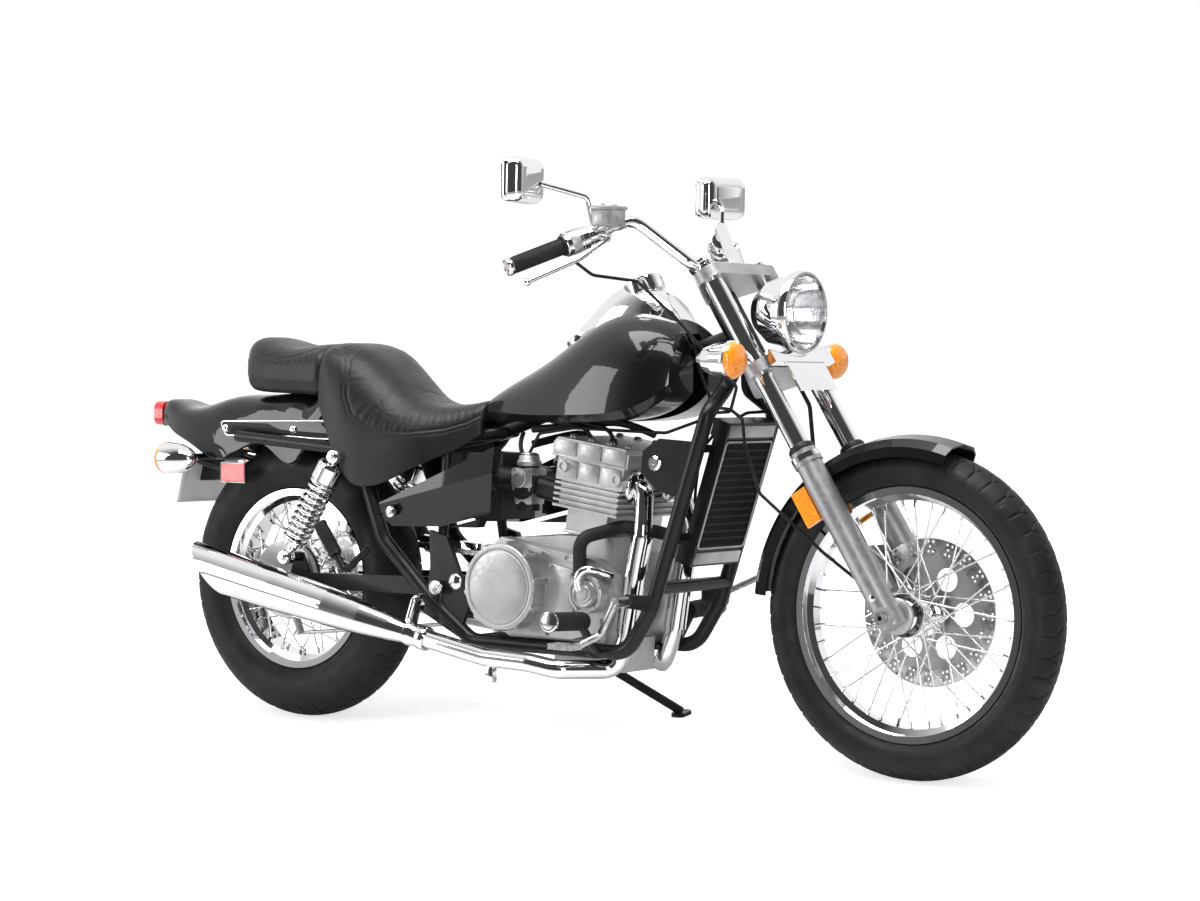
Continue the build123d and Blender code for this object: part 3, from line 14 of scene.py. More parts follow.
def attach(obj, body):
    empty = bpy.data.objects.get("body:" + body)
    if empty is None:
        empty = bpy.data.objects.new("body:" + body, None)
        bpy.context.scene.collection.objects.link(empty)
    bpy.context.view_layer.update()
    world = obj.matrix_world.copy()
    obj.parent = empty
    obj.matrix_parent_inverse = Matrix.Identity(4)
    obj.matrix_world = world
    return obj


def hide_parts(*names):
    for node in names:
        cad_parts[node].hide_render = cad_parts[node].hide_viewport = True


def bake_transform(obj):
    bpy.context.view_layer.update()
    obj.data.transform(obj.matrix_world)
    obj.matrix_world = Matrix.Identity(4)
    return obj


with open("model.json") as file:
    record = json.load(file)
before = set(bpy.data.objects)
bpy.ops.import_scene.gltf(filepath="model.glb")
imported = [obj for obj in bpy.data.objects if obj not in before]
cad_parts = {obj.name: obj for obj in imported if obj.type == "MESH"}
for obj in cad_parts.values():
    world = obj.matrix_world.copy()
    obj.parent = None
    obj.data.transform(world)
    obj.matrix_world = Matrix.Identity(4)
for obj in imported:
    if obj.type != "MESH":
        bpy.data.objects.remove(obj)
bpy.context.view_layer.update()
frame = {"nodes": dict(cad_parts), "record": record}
nodes = frame["nodes"]

# %% [markdown]
# ## From upright to parked
# The machine was drawn upright in millimetres, with x forward and zero midway between the axles,
# and was then leaned over to its left on the side stand. Every new piece is modelled in the same
# upright millimetres, because they are easier to think in, and one matrix then parks it.

# %% The parking matrix
LEAN_DEG = 9.0
ORIGIN_MM = Vector((-59.5, 168.682, 0.0))
WHEELBASE = 1595.0
FRONT_X, REAR_X = WHEELBASE / 2, -WHEELBASE / 2
FRONT_Z, REAR_Z = 331.923, 317.398
RAKE_DEG = 33.0
STEER_X = FRONT_X + 150.0

PARK = (Matrix.Scale(0.001, 4) @ Matrix.Translation(-ORIGIN_MM)
        @ Matrix.Rotation(math.radians(-LEAN_DEG), 4, "X"))
RAKE_SIN, RAKE_COS = math.sin(math.radians(RAKE_DEG)), math.cos(math.radians(RAKE_DEG))
STEER = Matrix(((RAKE_COS, 0, -RAKE_SIN, STEER_X), (0, 1, 0, 0), (RAKE_SIN, 0, RAKE_COS, 0),
                (0, 0, 0, 1)))
print("front axle, parked", [round(v, 4) for v in PARK @ Vector((FRONT_X, 0, FRONT_Z))])

# %% [markdown]
# ## Camera
# The photograph was taken from the front right, a little above the wheels, with a long lens. Its
# place was found from the outlines of both tyres. It is given in upright millimetres, and it leans
# over with the machine, so that the picture shows the machine at the photograph's angle.

# %% The photograph's camera
CAMERA_MM = Vector((3808.0, -5262.0, 834.0))
YAW, ELEVATION, ROLL = (math.radians(a) for a in (35.745, 1.768, 0.926))
FOCAL_PIXELS, FRAME_PIXELS, SENSOR_MM = 3038.0, 1200.0, 36.0

flat_reach = math.cos(ELEVATION)
back = Vector((math.sin(YAW) * flat_reach, -math.cos(YAW) * flat_reach, math.sin(ELEVATION)))
level = (-back).cross(Vector((0, 0, 1))).normalized()
above = level.cross(-back)
right = math.cos(ROLL) * level + math.sin(ROLL) * above
up = math.cos(ROLL) * above - math.sin(ROLL) * level
camera_data = bpy.data.cameras.new("photo_camera")
camera_data.sensor_width = SENSOR_MM
camera_data.lens = FOCAL_PIXELS * SENSOR_MM / FRAME_PIXELS
camera_data.clip_end = 60
camera = bpy.data.objects.new("photo_camera", camera_data)
bpy.context.scene.collection.objects.link(camera)
axes = Matrix((right, up, back)).transposed().to_4x4()
turn = Matrix.Rotation(math.radians(-LEAN_DEG), 4, "X")
camera.matrix_world = Matrix.Translation(PARK @ CAMERA_MM) @ turn @ axes
bpy.context.scene.camera = camera
print("camera", [round(v, 3) for v in camera.matrix_world.translation], "lens",
      round(camera_data.lens, 2))

# %% [markdown]
# ## Shader maths as expressions
# A finish mostly mixes a few masks. Wire wraps one socket and overloads plus and times, so that
# mask * 0.5 adds its own Math node. Every other node comes from Finish.add, which sets what kind
# of node it is first and its sockets after.

# %% Wire and Finish
SPECIAL_LABELS = {"ior": "IOR", "specular_ior_level": "Specular IOR Level"}


class Wire:
    """One output socket of a material, with arithmetic."""

    def __init__(self, finish, socket):
        self.finish = finish
        self.socket = socket

    def maths(self, operation, *values):
        return self.finish.add("ShaderNodeMath", {"operation": operation}, dict(enumerate(values)))

    def __add__(self, other):
        return self.maths("ADD", self, other)

    def __radd__(self, other):
        return self.maths("ADD", other, self)

    def __mul__(self, other):
        return self.maths("MULTIPLY", self, other)

    def __rmul__(self, other):
        return self.maths("MULTIPLY", other, self)


class Finish:
    """A material under construction, around one Principled shader."""

    def __init__(self, name, **values):
        self.material = bpy.data.materials.new(name)
        self.material.use_nodes = True
        self.tree = self.material.node_tree
        self.shader = self.tree.nodes["Principled BSDF"]
        self.set(**values)

    def set(self, **values):
        """Sets the shader's sockets: base_color=... stands for Base Color."""
        for name, value in values.items():
            label = SPECIAL_LABELS.get(name) or name.replace("_", " ").title()
            self._fill(self.shader.inputs[label], value)
        return self

    def _fill(self, socket, value):
        if isinstance(value, Wire):
            self.tree.links.new(value.socket, socket)
        elif isinstance(value, tuple) and len(value) == 3 and len(socket.default_value) == 4:
            socket.default_value = (*value, 1.0)
        else:
            socket.default_value = value

    def add(self, kind, settings=None, sockets=None, output=0):
        node = self.tree.nodes.new(kind)
        for name, value in (settings or {}).items():
            setattr(node, name, value)
        for name, value in (sockets or {}).items():
            self._fill(node.inputs[name], value)
        return Wire(self, node.outputs[output])

    def place(self, scale=(1, 1, 1), turn=(0, 0, 0), move=(0, 0, 0)):
        """Object coordinates, moved, turned and stretched."""
        where = self.add("ShaderNodeTexCoord", output="Object")
        return self.add("ShaderNodeMapping", sockets={
            "Vector": where, "Scale": scale, "Rotation": turn, "Location": move})

    def noise(self, scale, detail=3.0, roughness=0.5, where=None):
        return self.add("ShaderNodeTexNoise", sockets={
            "Vector": where or self.place(), "Scale": scale, "Detail": detail, "Roughness": roughness})

    def cells(self, scale, feature="F1", where=None):
        return self.add("ShaderNodeTexVoronoi", {"feature": feature}, {
            "Vector": where or self.place(), "Scale": scale})

    def split(self, vector):
        """The x, y and z of a vector as three wires."""
        return [self.add("ShaderNodeSeparateXYZ", sockets={0: vector}, output=k) for k in range(3)]

    def ramp(self, value, low, high, out_low=0.0, out_high=1.0):
        return self.add("ShaderNodeMapRange", {"clamp": True}, {
            "Value": value, "From Min": low, "From Max": high, "To Min": out_low, "To Max": out_high})

    def blend(self, mask, first, second):
        """A colour between two colours."""
        return self.add("ShaderNodeMix", {"data_type": "RGBA"}, {0: mask, 6: first, 7: second}, output=2)

    def relief(self, height, distance, strength=1.0):
        """A Bump node that feeds the shader's Normal."""
        self.set(normal=self.add("ShaderNodeBump", sockets={
            "Height": height, "Distance": distance, "Strength": strength}))
        return self


finishes = {}


def finish(name, slot, **values):
    """Starts a finish and remembers the record's slot that it belongs to."""
    made = Finish(name, **values)
    finishes[name] = (made.material, slot)
    return made


# %% [markdown]
# ## Paint, plating and castings
# Gloss black paint is a dark base under a clear coat, with the faint ripple that sprayed paint
# keeps. Plating is a mirror whose roughness drifts a little. Castings are duller and have a fine
# grain, which here is only bump because it is a tenth of a millimetre deep.

# %% Hard finishes
paint = finish("gloss_black", "black_paint", roughness=0.3, specular_ior_level=0.1, coat_weight=0.75,
               coat_roughness=0.02)
paint.set(base_color=paint.blend(paint.ramp(paint.noise(3.0), 0.35, 0.65),
                                 (0.0035, 0.0035, 0.004, 1), (0.006, 0.006, 0.007, 1)))
paint.relief(paint.noise(26.0, 2.0), 0.00012, 0.35)

chrome = finish("plated", "chrome", metallic=1.0)
chrome.set(base_color=chrome.blend(chrome.ramp(chrome.noise(7.0), 0.3, 0.7),
                                   (0.80, 0.81, 0.83, 1), (0.88, 0.88, 0.89, 1)))
chrome.set(roughness=chrome.ramp(chrome.noise(40.0, 4.0), 0.3, 0.8, 0.02, 0.08))

steel = finish("turned_steel", "bright_steel", metallic=1.0)
steel.set(base_color=steel.blend(steel.ramp(steel.noise(60.0), 0.3, 0.7),
                                 (0.42, 0.42, 0.43, 1), (0.62, 0.62, 0.63, 1)))
steel.set(roughness=steel.ramp(steel.noise(90.0, 4.0), 0.3, 0.7, 0.2, 0.38))
steel.relief(steel.noise(300.0), 0.0001, 0.3)

cast = finish("satin_casting", "satin_aluminium", metallic=0.85)
cast.set(base_color=cast.blend(cast.ramp(cast.noise(14.0), 0.3, 0.7),
                               (0.34, 0.34, 0.35, 1), (0.50, 0.50, 0.51, 1)))
cast.set(roughness=cast.ramp(cast.noise(120.0, 5.0), 0.3, 0.7, 0.32, 0.5))
cast.relief(cast.noise(700.0, 3.0), 0.0002, 0.5)

powder = finish("powder_black", "black_metal", specular_ior_level=0.2, coat_weight=0.15,
                coat_roughness=0.2)
powder.set(base_color=powder.blend(powder.ramp(powder.noise(9.0), 0.3, 0.7),
                                   (0.005, 0.005, 0.006, 1), (0.012, 0.012, 0.013, 1)))
powder.set(roughness=powder.ramp(powder.noise(60.0, 4.0), 0.3, 0.7, 0.28, 0.42))
powder.relief(powder.noise(500.0), 0.00012, 0.4)

plastic = finish("moulded_black", "black_plastic", roughness=0.42, specular_ior_level=0.25)
plastic.set(base_color=plastic.blend(plastic.ramp(plastic.noise(11.0), 0.3, 0.7),
                                     (0.006, 0.006, 0.007, 1), (0.014, 0.014, 0.015, 1)))
plastic.relief(plastic.cells(900.0), 0.0001, 0.5)

rubber = finish("ribbed_rubber", "grip_rubber", roughness=0.6, specular_ior_level=0.25)
rubber.set(base_color=rubber.blend(rubber.ramp(rubber.noise(30.0), 0.3, 0.7),
                                   (0.010, 0.010, 0.011, 1), (0.020, 0.020, 0.021, 1)))
rubber.relief(rubber.noise(400.0), 0.0002, 0.4)

tyre_rubber = finish("tyre_rubber", "tyre", specular_ior_level=0.2)
tyre_rubber.set(base_color=tyre_rubber.blend(tyre_rubber.ramp(tyre_rubber.noise(18.0, 4.0), 0.3, 0.7),
                                             (0.009, 0.009, 0.010, 1), (0.018, 0.018, 0.019, 1)))
tyre_rubber.set(roughness=tyre_rubber.ramp(tyre_rubber.noise(45.0), 0.3, 0.7, 0.42, 0.6))
tyre_rubber.relief(tyre_rubber.noise(350.0), 0.0002, 0.35)

leather = finish("pebbled_leather", "seat_leather", specular_ior_level=0.3, coat_weight=0.12,
                 coat_roughness=0.3)
pebble = leather.cells(420.0, "DISTANCE_TO_EDGE")
leather.set(base_color=leather.blend(leather.ramp(leather.noise(12.0, 4.0), 0.3, 0.7),
                                     (0.005, 0.005, 0.006, 1), (0.011, 0.011, 0.012, 1)))
leather.set(roughness=leather.ramp(leather.noise(25.0, 3.0), 0.3, 0.7, 0.3, 0.42))
leather.relief(leather.ramp(pebble, 0.0, 0.25) + leather.noise(90.0) * 0.6, 0.0004, 0.45)
print("hard finishes", len(finishes))

# %% [markdown]
# ## Lamp glass and lenses
# The headlight's glass has fine upright flutes that spread the beam. Amber and red lenses are
# moulded plastic over a reflector, so they glow in their own colour and have rings of small prisms.

# %% Clear and coloured lenses
glass = finish("fluted_glass", "lamp_glass", transmission_weight=1.0, ior=1.45)
flutes = glass.split(glass.place())[1]
glass.set(base_color=glass.blend(glass.ramp(glass.noise(20.0), 0.3, 0.7),
                                 (0.93, 0.95, 0.97, 1), (1.0, 1.0, 1.0, 1)))
glass.set(roughness=glass.ramp(glass.noise(30.0), 0.3, 0.7, 0.0, 0.03))
glass.relief((flutes * 1200.0).maths("SINE", flutes * 1200.0), 0.0004, 0.25)

for lens_name, slot, deep, bright in (
    ("amber_lens", "amber_lens", (0.75, 0.16, 0.005, 1), (1.0, 0.36, 0.02, 1)),
    ("red_lens", "red_lens", (0.35, 0.004, 0.004, 1), (0.7, 0.02, 0.015, 1)),
):
    lens = finish(lens_name, slot, roughness=0.12, coat_weight=0.8, coat_roughness=0.03)
    prisms = lens.cells(260.0)
    lens.set(base_color=lens.blend(lens.ramp(prisms, 0.1, 0.7), deep, bright))
    lens.relief(prisms, 0.0008, 0.5)

mirror_glass = finish("mirror_glass", "chrome", metallic=1.0)
mirror_glass.set(base_color=mirror_glass.blend(mirror_glass.ramp(mirror_glass.noise(3.0), 0.3, 0.7),
                                               (0.9, 0.91, 0.92, 1), (0.94, 0.94, 0.95, 1)))
mirror_glass.set(roughness=mirror_glass.ramp(mirror_glass.noise(6.0), 0.3, 0.7, 0.0, 0.012))

plate_metal = finish("plate_metal", "satin_aluminium", metallic=0.2)
plate_metal.set(base_color=plate_metal.blend(plate_metal.ramp(plate_metal.noise(9.0), 0.3, 0.7),
                                             (0.62, 0.63, 0.63, 1), (0.70, 0.70, 0.71, 1)))
plate_metal.set(roughness=plate_metal.ramp(plate_metal.noise(50.0), 0.3, 0.7, 0.4, 0.5))
print("finishes", sorted(finishes))

# %% Finishes on the CAD nodes


def only(made):
    """Selects one object and makes it active."""
    bpy.ops.object.select_all(action="DESELECT")
    made.select_set(True)
    bpy.context.view_layer.objects.active = made


slot_finish = {
    "tyre": "tyre_rubber", "chrome": "plated", "bright_steel": "turned_steel",
    "satin_aluminium": "satin_casting", "black_metal": "powder_black", "black_paint": "gloss_black",
    "black_plastic": "moulded_black", "grip_rubber": "ribbed_rubber", "seat_leather": "pebbled_leather",
    "lamp_glass": "fluted_glass", "amber_lens": "amber_lens", "red_lens": "red_lens",
}
for entry in frame["record"]["subparts"]:
    node = nodes[entry["node"]]
    material = finishes[slot_finish[entry["material_slot"]]][0]
    node.data.materials.clear()
    node.data.materials.append(material)
    only(node)
    bpy.ops.object.shade_smooth_by_angle(angle=math.radians(32))

# %% [markdown]
# ## Seats
# The rider's seat is one moulded foam pad under leather: a nose against the tank, a dished middle
# and a hump at the back, with long skirts over the frame. The passenger's pad is a pillow behind
# it. Each is a fine grid that follows measured sections. Two rows of stitching pull the leather
# in, pleats fan out from them, and a short cloth simulation swells what the stitching leaves free.

# %% Section tables and a smooth reader
# x, lowest z, highest z, half width, squareness of the section
RIDER_TABLE = (
    (-257, 662, 737, 60, 0.66), (-300, 630, 728, 82, 0.66), (-350, 606, 723, 104, 0.66),
    (-404, 580, 728, 124, 0.66), (-450, 557, 746, 134, 0.66), (-504, 541, 788, 141, 0.62),
    (-550, 546, 824, 145, 0.56), (-580, 574, 842, 146, 0.52), (-613, 630, 852, 145, 0.50),
    (-642, 692, 856, 141, 0.50), (-662, 722, 856, 134, 0.52),
)
PASSENGER_TABLE = (
    (-672, 742, 852, 122, 0.55), (-700, 738, 853, 121, 0.58), (-740, 739, 850, 119, 0.6),
    (-797, 740, 848, 116, 0.6), (-840, 741, 855, 113, 0.6), (-880, 744, 864, 105, 0.6),
    (-908, 750, 866, 91, 0.62), (-926, 762, 858, 72, 0.66), (-938, 784, 838, 44, 0.75),
)
HOLLOW_TABLE = (
    (-224, 688, 50), (-324, 684, 82), (-404, 688, 112), (-504, 696, 130), (-594, 720, 135),
    (-684, 738, 128), (-824, 748, 124),
)


def read(table, x, column):
    """A column of the table at x, on a smooth curve through its rows."""
    rows = sorted(table)
    xs = np.array([row[0] for row in rows], float)
    values = np.array([row[column] for row in rows], float)
    slopes = np.gradient(values, xs)
    k = int(np.clip(np.searchsorted(xs, x) - 1, 0, len(xs) - 2))
    span = xs[k + 1] - xs[k]
    t = np.clip((x - xs[k]) / span, 0, 1)
    return float(values[k] * (1 + 2 * t) * (1 - t) ** 2 + slopes[k] * span * t * (1 - t) ** 2
                 + values[k + 1] * t * t * (3 - 2 * t) + slopes[k + 1] * span * t * t * (t - 1))


def arch(half, low, high, power, count):
    """Points of one section, from the right edge over the top to the left edge."""
    points = []
    for k in range(count):
        angle = math.pi * (1 - k / (count - 1))
        c, s = math.cos(angle), math.sin(angle)
        y = half * math.copysign(abs(c) ** power, c)
        points.append((y, low + (high - low) * abs(s) ** power))
    return points


def even(points, count):
    """The same line with its points spread evenly."""
    line = np.array(points, float)
    walk = np.concatenate([[0], np.cumsum(np.linalg.norm(np.diff(line, axis=0), axis=1))])
    want = np.linspace(0, walk[-1], count)
    return np.stack([np.interp(want, walk, line[:, k]) for k in range(2)], axis=1)


# %% Stitching, pleats and buttons
RIDER_SEAM = ((-650, 852), (-606, 838), (-586, 815), (-578, 780), (-575, 742), (-556, 700), (-517, 676),
              (-467, 663), (-413, 662), (-333, 672), (-285, 688), (-262, 702))
PASSENGER_SEAM = ((-700, 842), (-761, 823), (-820, 816), (-877, 816), (-930, 824))
BUTTON = Vector((-482.0, 92.0, 716.0))


def seam_frame(seam, x, z):
    """Distance to the seam in the side view, its sign (inside is above), and the run along it."""
    best = (1e9, 1.0, 0.0)
    run = 0.0
    for (x0, z0), (x1, z1) in zip(seam, seam[1:]):
        dx, dz = x1 - x0, z1 - z0
        size = math.hypot(dx, dz)
        t = min(max(((x - x0) * dx + (z - z0) * dz) / size ** 2, 0), 1)
        away = math.hypot(x - x0 - t * dx, z - z0 - t * dz)
        if away < best[0]:
            side = 1.0 if (z - z0) * dx - (x - x0) * dz > 0 else -1.0
            best = (away, side, run + t * size)
        run += size
    return best


def groove(distance, depth, width):
    return depth * math.exp(-(distance / width) ** 2)


def leather_depth(point, seam, half, button):
    """How far the leather is pulled in at a point, and how free it is to swell."""
    x, y, z = point
    away, side, run = seam_frame(seam, x, z)
    flank = 1.0 if abs(y) > 0.5 * half else math.exp(-((0.5 * half - abs(y)) / 12) ** 2)
    depth = flank * (groove(away, 2.2, 3.0) + groove(abs(away - 9.0) if side < 0 else 99, 1.2, 2.4))
    inward = away if side > 0 else 0.0
    ripple = math.sin(run / 2.6 + 1.7 * math.sin(run / 23.0)) + 0.5 * math.sin(run / 4.7)
    if side > 0:
        depth += flank * 1.5 * (0.5 + 0.5 * ripple) * math.exp(-inward / 26.0) * min(inward / 5.0, 1.0)
    if button:
        spot = Vector((x, abs(y), z)) - BUTTON
        reach = spot.length
        turn_round = math.atan2(spot.z + 0.4 * spot.y, spot.x)
        star = 0.5 + 0.5 * math.cos(9 * turn_round + 1.3 * math.sin(3 * turn_round))
        depth += groove(reach, 7.0, 11.0) + 3.2 * star * math.exp(-reach / 24.0) * min(reach / 10.0, 1.0)
    return depth, min(away / 14.0, 1.0) if flank > 0.5 else 1.0


# %% Building a pad
def pad_mesh(name, rings, closed_ends):
    """A closed mesh from rings of equal length, the ends filled with a fan round their middle."""
    count = len(rings[0])
    points = [tuple(p) for ring in rings for p in ring]
    faces = []
    for r in range(len(rings) - 1):
        for k in range(count):
            a, b = r * count + k, r * count + (k + 1) % count
            faces.append((a, b, b + count, a + count))
    if closed_ends == "strip":
        half_count = count // 2
        for base, flip in ((0, True), ((len(rings) - 1) * count, False)):
            for k in range(half_count - 1):
                quad = (base + k, base + k + 1, base + count - 2 - k, base + count - 1 - k)
                faces.append(quad[::-1] if flip else quad)
    else:
        for base, flip in ((0, True), ((len(rings) - 1) * count, False)):
            points.append(tuple(np.mean(points[base:base + count], axis=0)))
            for k in range(count):
                tri = (base + k, base + (k + 1) % count, len(points) - 1)
                faces.append(tri[::-1] if flip else tri)
    mesh = bpy.data.meshes.new(name)
    mesh.from_pydata(points, [], faces)
    made = bpy.data.objects.new(name, mesh)
    bpy.context.scene.collection.objects.link(made)
    only(made)
    bpy.ops.object.mode_set(mode="EDIT")
    bpy.ops.mesh.select_all(action="SELECT")
    bpy.ops.mesh.normals_make_consistent(inside=False)
    bpy.ops.object.mode_set(mode="OBJECT")
    return made


def swell(made, freedom, pressure, cap_mm):
    """A short cloth simulation: the free leather swells, the stitched lines and the base stay."""
    rest = [v.co.copy() for v in made.data.vertices]
    group = made.vertex_groups.new(name="held")
    for index, free in enumerate(freedom):
        group.add([index], 1.0 - 0.92 * free, "REPLACE")
    cloth = made.modifiers.new("leather", "CLOTH")
    settings = cloth.settings
    settings.vertex_group_mass = "held"
    settings.pin_stiffness = 2.0
    settings.quality = 4
    settings.mass = 0.4
    settings.use_pressure = True
    settings.uniform_pressure_force = pressure
    settings.effector_weights.gravity = 0.0
    cloth.collision_settings.use_collision = False
    for number in range(1, 16):
        bpy.context.scene.frame_set(number)
    bpy.context.view_layer.objects.active = made
    bpy.ops.object.modifier_apply(modifier="leather")
    bpy.context.scene.frame_set(1)
    moved = 0.0
    for vertex, before, free in zip(made.data.vertices, rest, freedom):
        step = vertex.co - before
        limit = cap_mm * 0.001 * free
        if step.length > limit:
            step = step.normalized() * limit if step.length > 0 and limit > 0 else Vector()
        vertex.co = before + step
        moved = max(moved, step.length)
    made.vertex_groups.clear()
    print(made.name, "swelled by at most", round(moved * 1000, 1), "mm")


def dress(made, finish_name, body, smooth_deg=None):
    """Gives a finished piece its material, its shading and, if a body is given, its body."""
    made.data.materials.clear()
    made.data.materials.append(finishes[finish_name][0])
    only(made)
    if smooth_deg is None:
        bpy.ops.object.shade_smooth()
    else:
        bpy.ops.object.shade_smooth_by_angle(angle=math.radians(smooth_deg))
    if body:
        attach(made, body)
    return made


# %% Rider's seat
SEAT_RINGS, SEAT_POINTS = 128, 176
rings, freedom = [], []
for r in range(SEAT_RINGS):
    x = -257.0 + (-662.0 + 257.0) * r / (SEAT_RINGS - 1)
    low, high, half, power = (read(RIDER_TABLE, x, c) for c in (1, 2, 3, 4))
    ends = min((r + 1) / 5, (SEAT_RINGS - r) / 4, 1.0)
    round_off = 7.0 * (1 - math.sqrt(1 - (1 - ends) ** 2))
    outer = even(arch(half - round_off, low, high - round_off, power, 400), SEAT_POINTS)
    hollow_top, hollow_half = read(HOLLOW_TABLE, x, 1), read(HOLLOW_TABLE, x, 2)
    inner_half = min(half - 9 - round_off, hollow_half)
    inner = even(arch(inner_half, low + 4, min(hollow_top, high - 24), 0.36, 400), SEAT_POINTS)[::-1]
    ring = []
    for k, (y, z) in enumerate(outer):
        depth, free = leather_depth((x, y, z), RIDER_SEAM, half, True)
        tangent = outer[min(k + 1, SEAT_POINTS - 1)] - outer[max(k - 1, 0)]
        normal = np.array((tangent[1], -tangent[0])) / max(np.linalg.norm(tangent), 1e-6)
        ring.append((x, y + normal[0] * depth, z + normal[1] * depth))
        edge = min(k, SEAT_POINTS - 1 - k) / 14
        freedom.append(free * min(edge, 1.0) * min(r / 8, (SEAT_RINGS - 1 - r) / 6, 1.0))
    ring += [(x, y, z) for y, z in inner]
    freedom += [0.0] * SEAT_POINTS
    rings.append(ring)
rider_cover = pad_mesh("rider_seat_cover", rings, "strip")
rider_cover.data.transform(PARK)
swell(rider_cover, freedom, 3.0, 6.0)
dress(rider_cover, "pebbled_leather", "chassis")
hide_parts("rider_seat")
print("rider seat faces", len(rider_cover.data.polygons))

# %% Passenger's pad
PAD_RINGS, PAD_POINTS = 96, 120
rings, freedom = [], []
for r in range(PAD_RINGS):
    x = -672.0 + (-938.0 + 672.0) * r / (PAD_RINGS - 1)
    low, high, half, power = (read(PASSENGER_TABLE, x, c) for c in (1, 2, 3, 4))
    ends = min((r + 1) / 7, (PAD_RINGS - r) / 6, 1.0)
    round_off = 12.0 * (1 - math.sqrt(1 - (1 - ends) ** 2))
    outer = even(arch(half - round_off, low + 30, high - round_off, power, 400), PAD_POINTS)
    under = even([(half - round_off, low + 30), (half * 0.93 - round_off, low + 8),
                  (half * 0.82 - round_off, low),
                  (-half * 0.82 + round_off, low), (-half * 0.93 + round_off, low + 8),
                  (-half + round_off, low + 30)], 60)
    ring = []
    for k, (y, z) in enumerate(outer):
        depth, free = leather_depth((x, y, z), PASSENGER_SEAM, half, False)
        tangent = outer[min(k + 1, PAD_POINTS - 1)] - outer[max(k - 1, 0)]
        normal = np.array((tangent[1], -tangent[0])) / max(np.linalg.norm(tangent), 1e-6)
        ring.append((x, y + normal[0] * depth, z + normal[1] * depth))
        freedom.append(free * min(r / 8, (PAD_RINGS - 1 - r) / 8, 1.0))
    ring += [(x, y, z) for y, z in under[1:-1]]
    freedom += [0.0] * (len(under) - 2)
    rings.append(ring)
passenger_cover = pad_mesh("passenger_seat_cover", rings, "fan")
freedom += [0.0, 0.0]
passenger_cover.data.transform(PARK)
swell(passenger_cover, freedom, 3.0, 6.0)
dress(passenger_cover, "pebbled_leather", "chassis")
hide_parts("passenger_seat")
print("passenger pad faces", len(passenger_cover.data.polygons))

# %% [markdown]
# ## Turning and bending
# Most of a motorcycle is turned on a lathe or bent from tube. turned() walks a point along an
# outline with extrude and spins the line round an axis. tube() bends a round bar along points.
# Both work in upright millimetres, and park() brings the result to the shared frame.

# %% Making helpers


def frame_at(place, way, side=(0, 0, 1)):
    """A matrix at a place whose z axis points along a way."""
    z = Vector(way).normalized()
    x = Vector(side) - Vector(side).dot(z) * z
    x = x.normalized() if x.length > 1e-4 else z.orthogonal().normalized()
    y = z.cross(x)
    turned_axes = Matrix((x, y, z)).transposed().to_4x4()
    return Matrix.Translation(place) @ turned_axes


def turned(name, outline, place, way, steps=40):
    """A piece turned on a lathe: the outline is (distance along the axis, radius)."""
    bpy.ops.object.select_all(action="DESELECT")
    bpy.ops.mesh.primitive_plane_add(size=1)
    made = bpy.context.active_object
    made.name = name
    bpy.ops.object.mode_set(mode="EDIT")
    bpy.ops.mesh.merge(type="CENTER")
    bpy.ops.transform.translate(value=(outline[0][1], 0, outline[0][0]))
    for (z0, r0), (z1, r1) in zip(outline, outline[1:]):
        bpy.ops.mesh.extrude_region_move(TRANSFORM_OT_translate={"value": (r1 - r0, 0, z1 - z0)})
    bpy.ops.mesh.select_all(action="SELECT")
    bpy.ops.mesh.spin(steps=steps, angle=math.tau, center=(0, 0, 0), axis=(0, 0, 1))
    bpy.ops.mesh.select_all(action="SELECT")
    bpy.ops.mesh.remove_doubles(threshold=0.01)
    bpy.ops.mesh.normals_make_consistent(inside=False)
    bpy.ops.object.mode_set(mode="OBJECT")
    made.data.transform(frame_at(place, way))
    return made


def tube(name, points, radius, sides=5, smooth=True, closed=False):
    """A round bar along points, as a mesh with closed ends."""
    data = bpy.data.curves.new(name, "CURVE")
    data.dimensions = "3D"
    data.bevel_depth = radius
    data.bevel_resolution = sides
    data.resolution_u = 8
    data.use_fill_caps = not closed
    spline = data.splines.new("NURBS" if smooth else "POLY")
    spline.points.add(len(points) - 1)
    for point, where in zip(spline.points, points):
        point.co = (*where, 1)
    if smooth:
        spline.order_u = 3
        spline.use_endpoint_u = not closed
    spline.use_cyclic_u = closed
    made = bpy.data.objects.new(name, data)
    bpy.context.scene.collection.objects.link(made)
    only(made)
    bpy.ops.object.convert(target="MESH")
    return bpy.context.active_object


def hexagon(name, place, way, across, height, washer=0.0):
    """A hexagon bolt head with a chamfered top and, if asked, a washer under it."""
    bpy.ops.object.select_all(action="DESELECT")
    bpy.ops.mesh.primitive_cylinder_add(vertices=6, radius=across / math.sqrt(3), depth=height,
                                        location=(0, 0, height / 2 + (1.2 if washer else 0)))
    made = bpy.context.active_object
    made.name = name
    bpy.ops.object.transform_apply(location=True, rotation=True, scale=True)
    bpy.ops.object.mode_set(mode="EDIT")
    bpy.ops.mesh.select_all(action="SELECT")
    bpy.ops.mesh.bevel(offset=across * 0.06, segments=1)
    bpy.ops.object.mode_set(mode="OBJECT")
    if washer:
        bpy.ops.object.select_all(action="DESELECT")
        bpy.ops.mesh.primitive_cylinder_add(vertices=20, radius=washer, depth=1.4, location=(0, 0, 0.7))
        ring = bpy.context.active_object
        made.select_set(True)
        bpy.context.view_layer.objects.active = made
        bpy.ops.object.join()
    made.data.transform(frame_at(place, way))
    return made


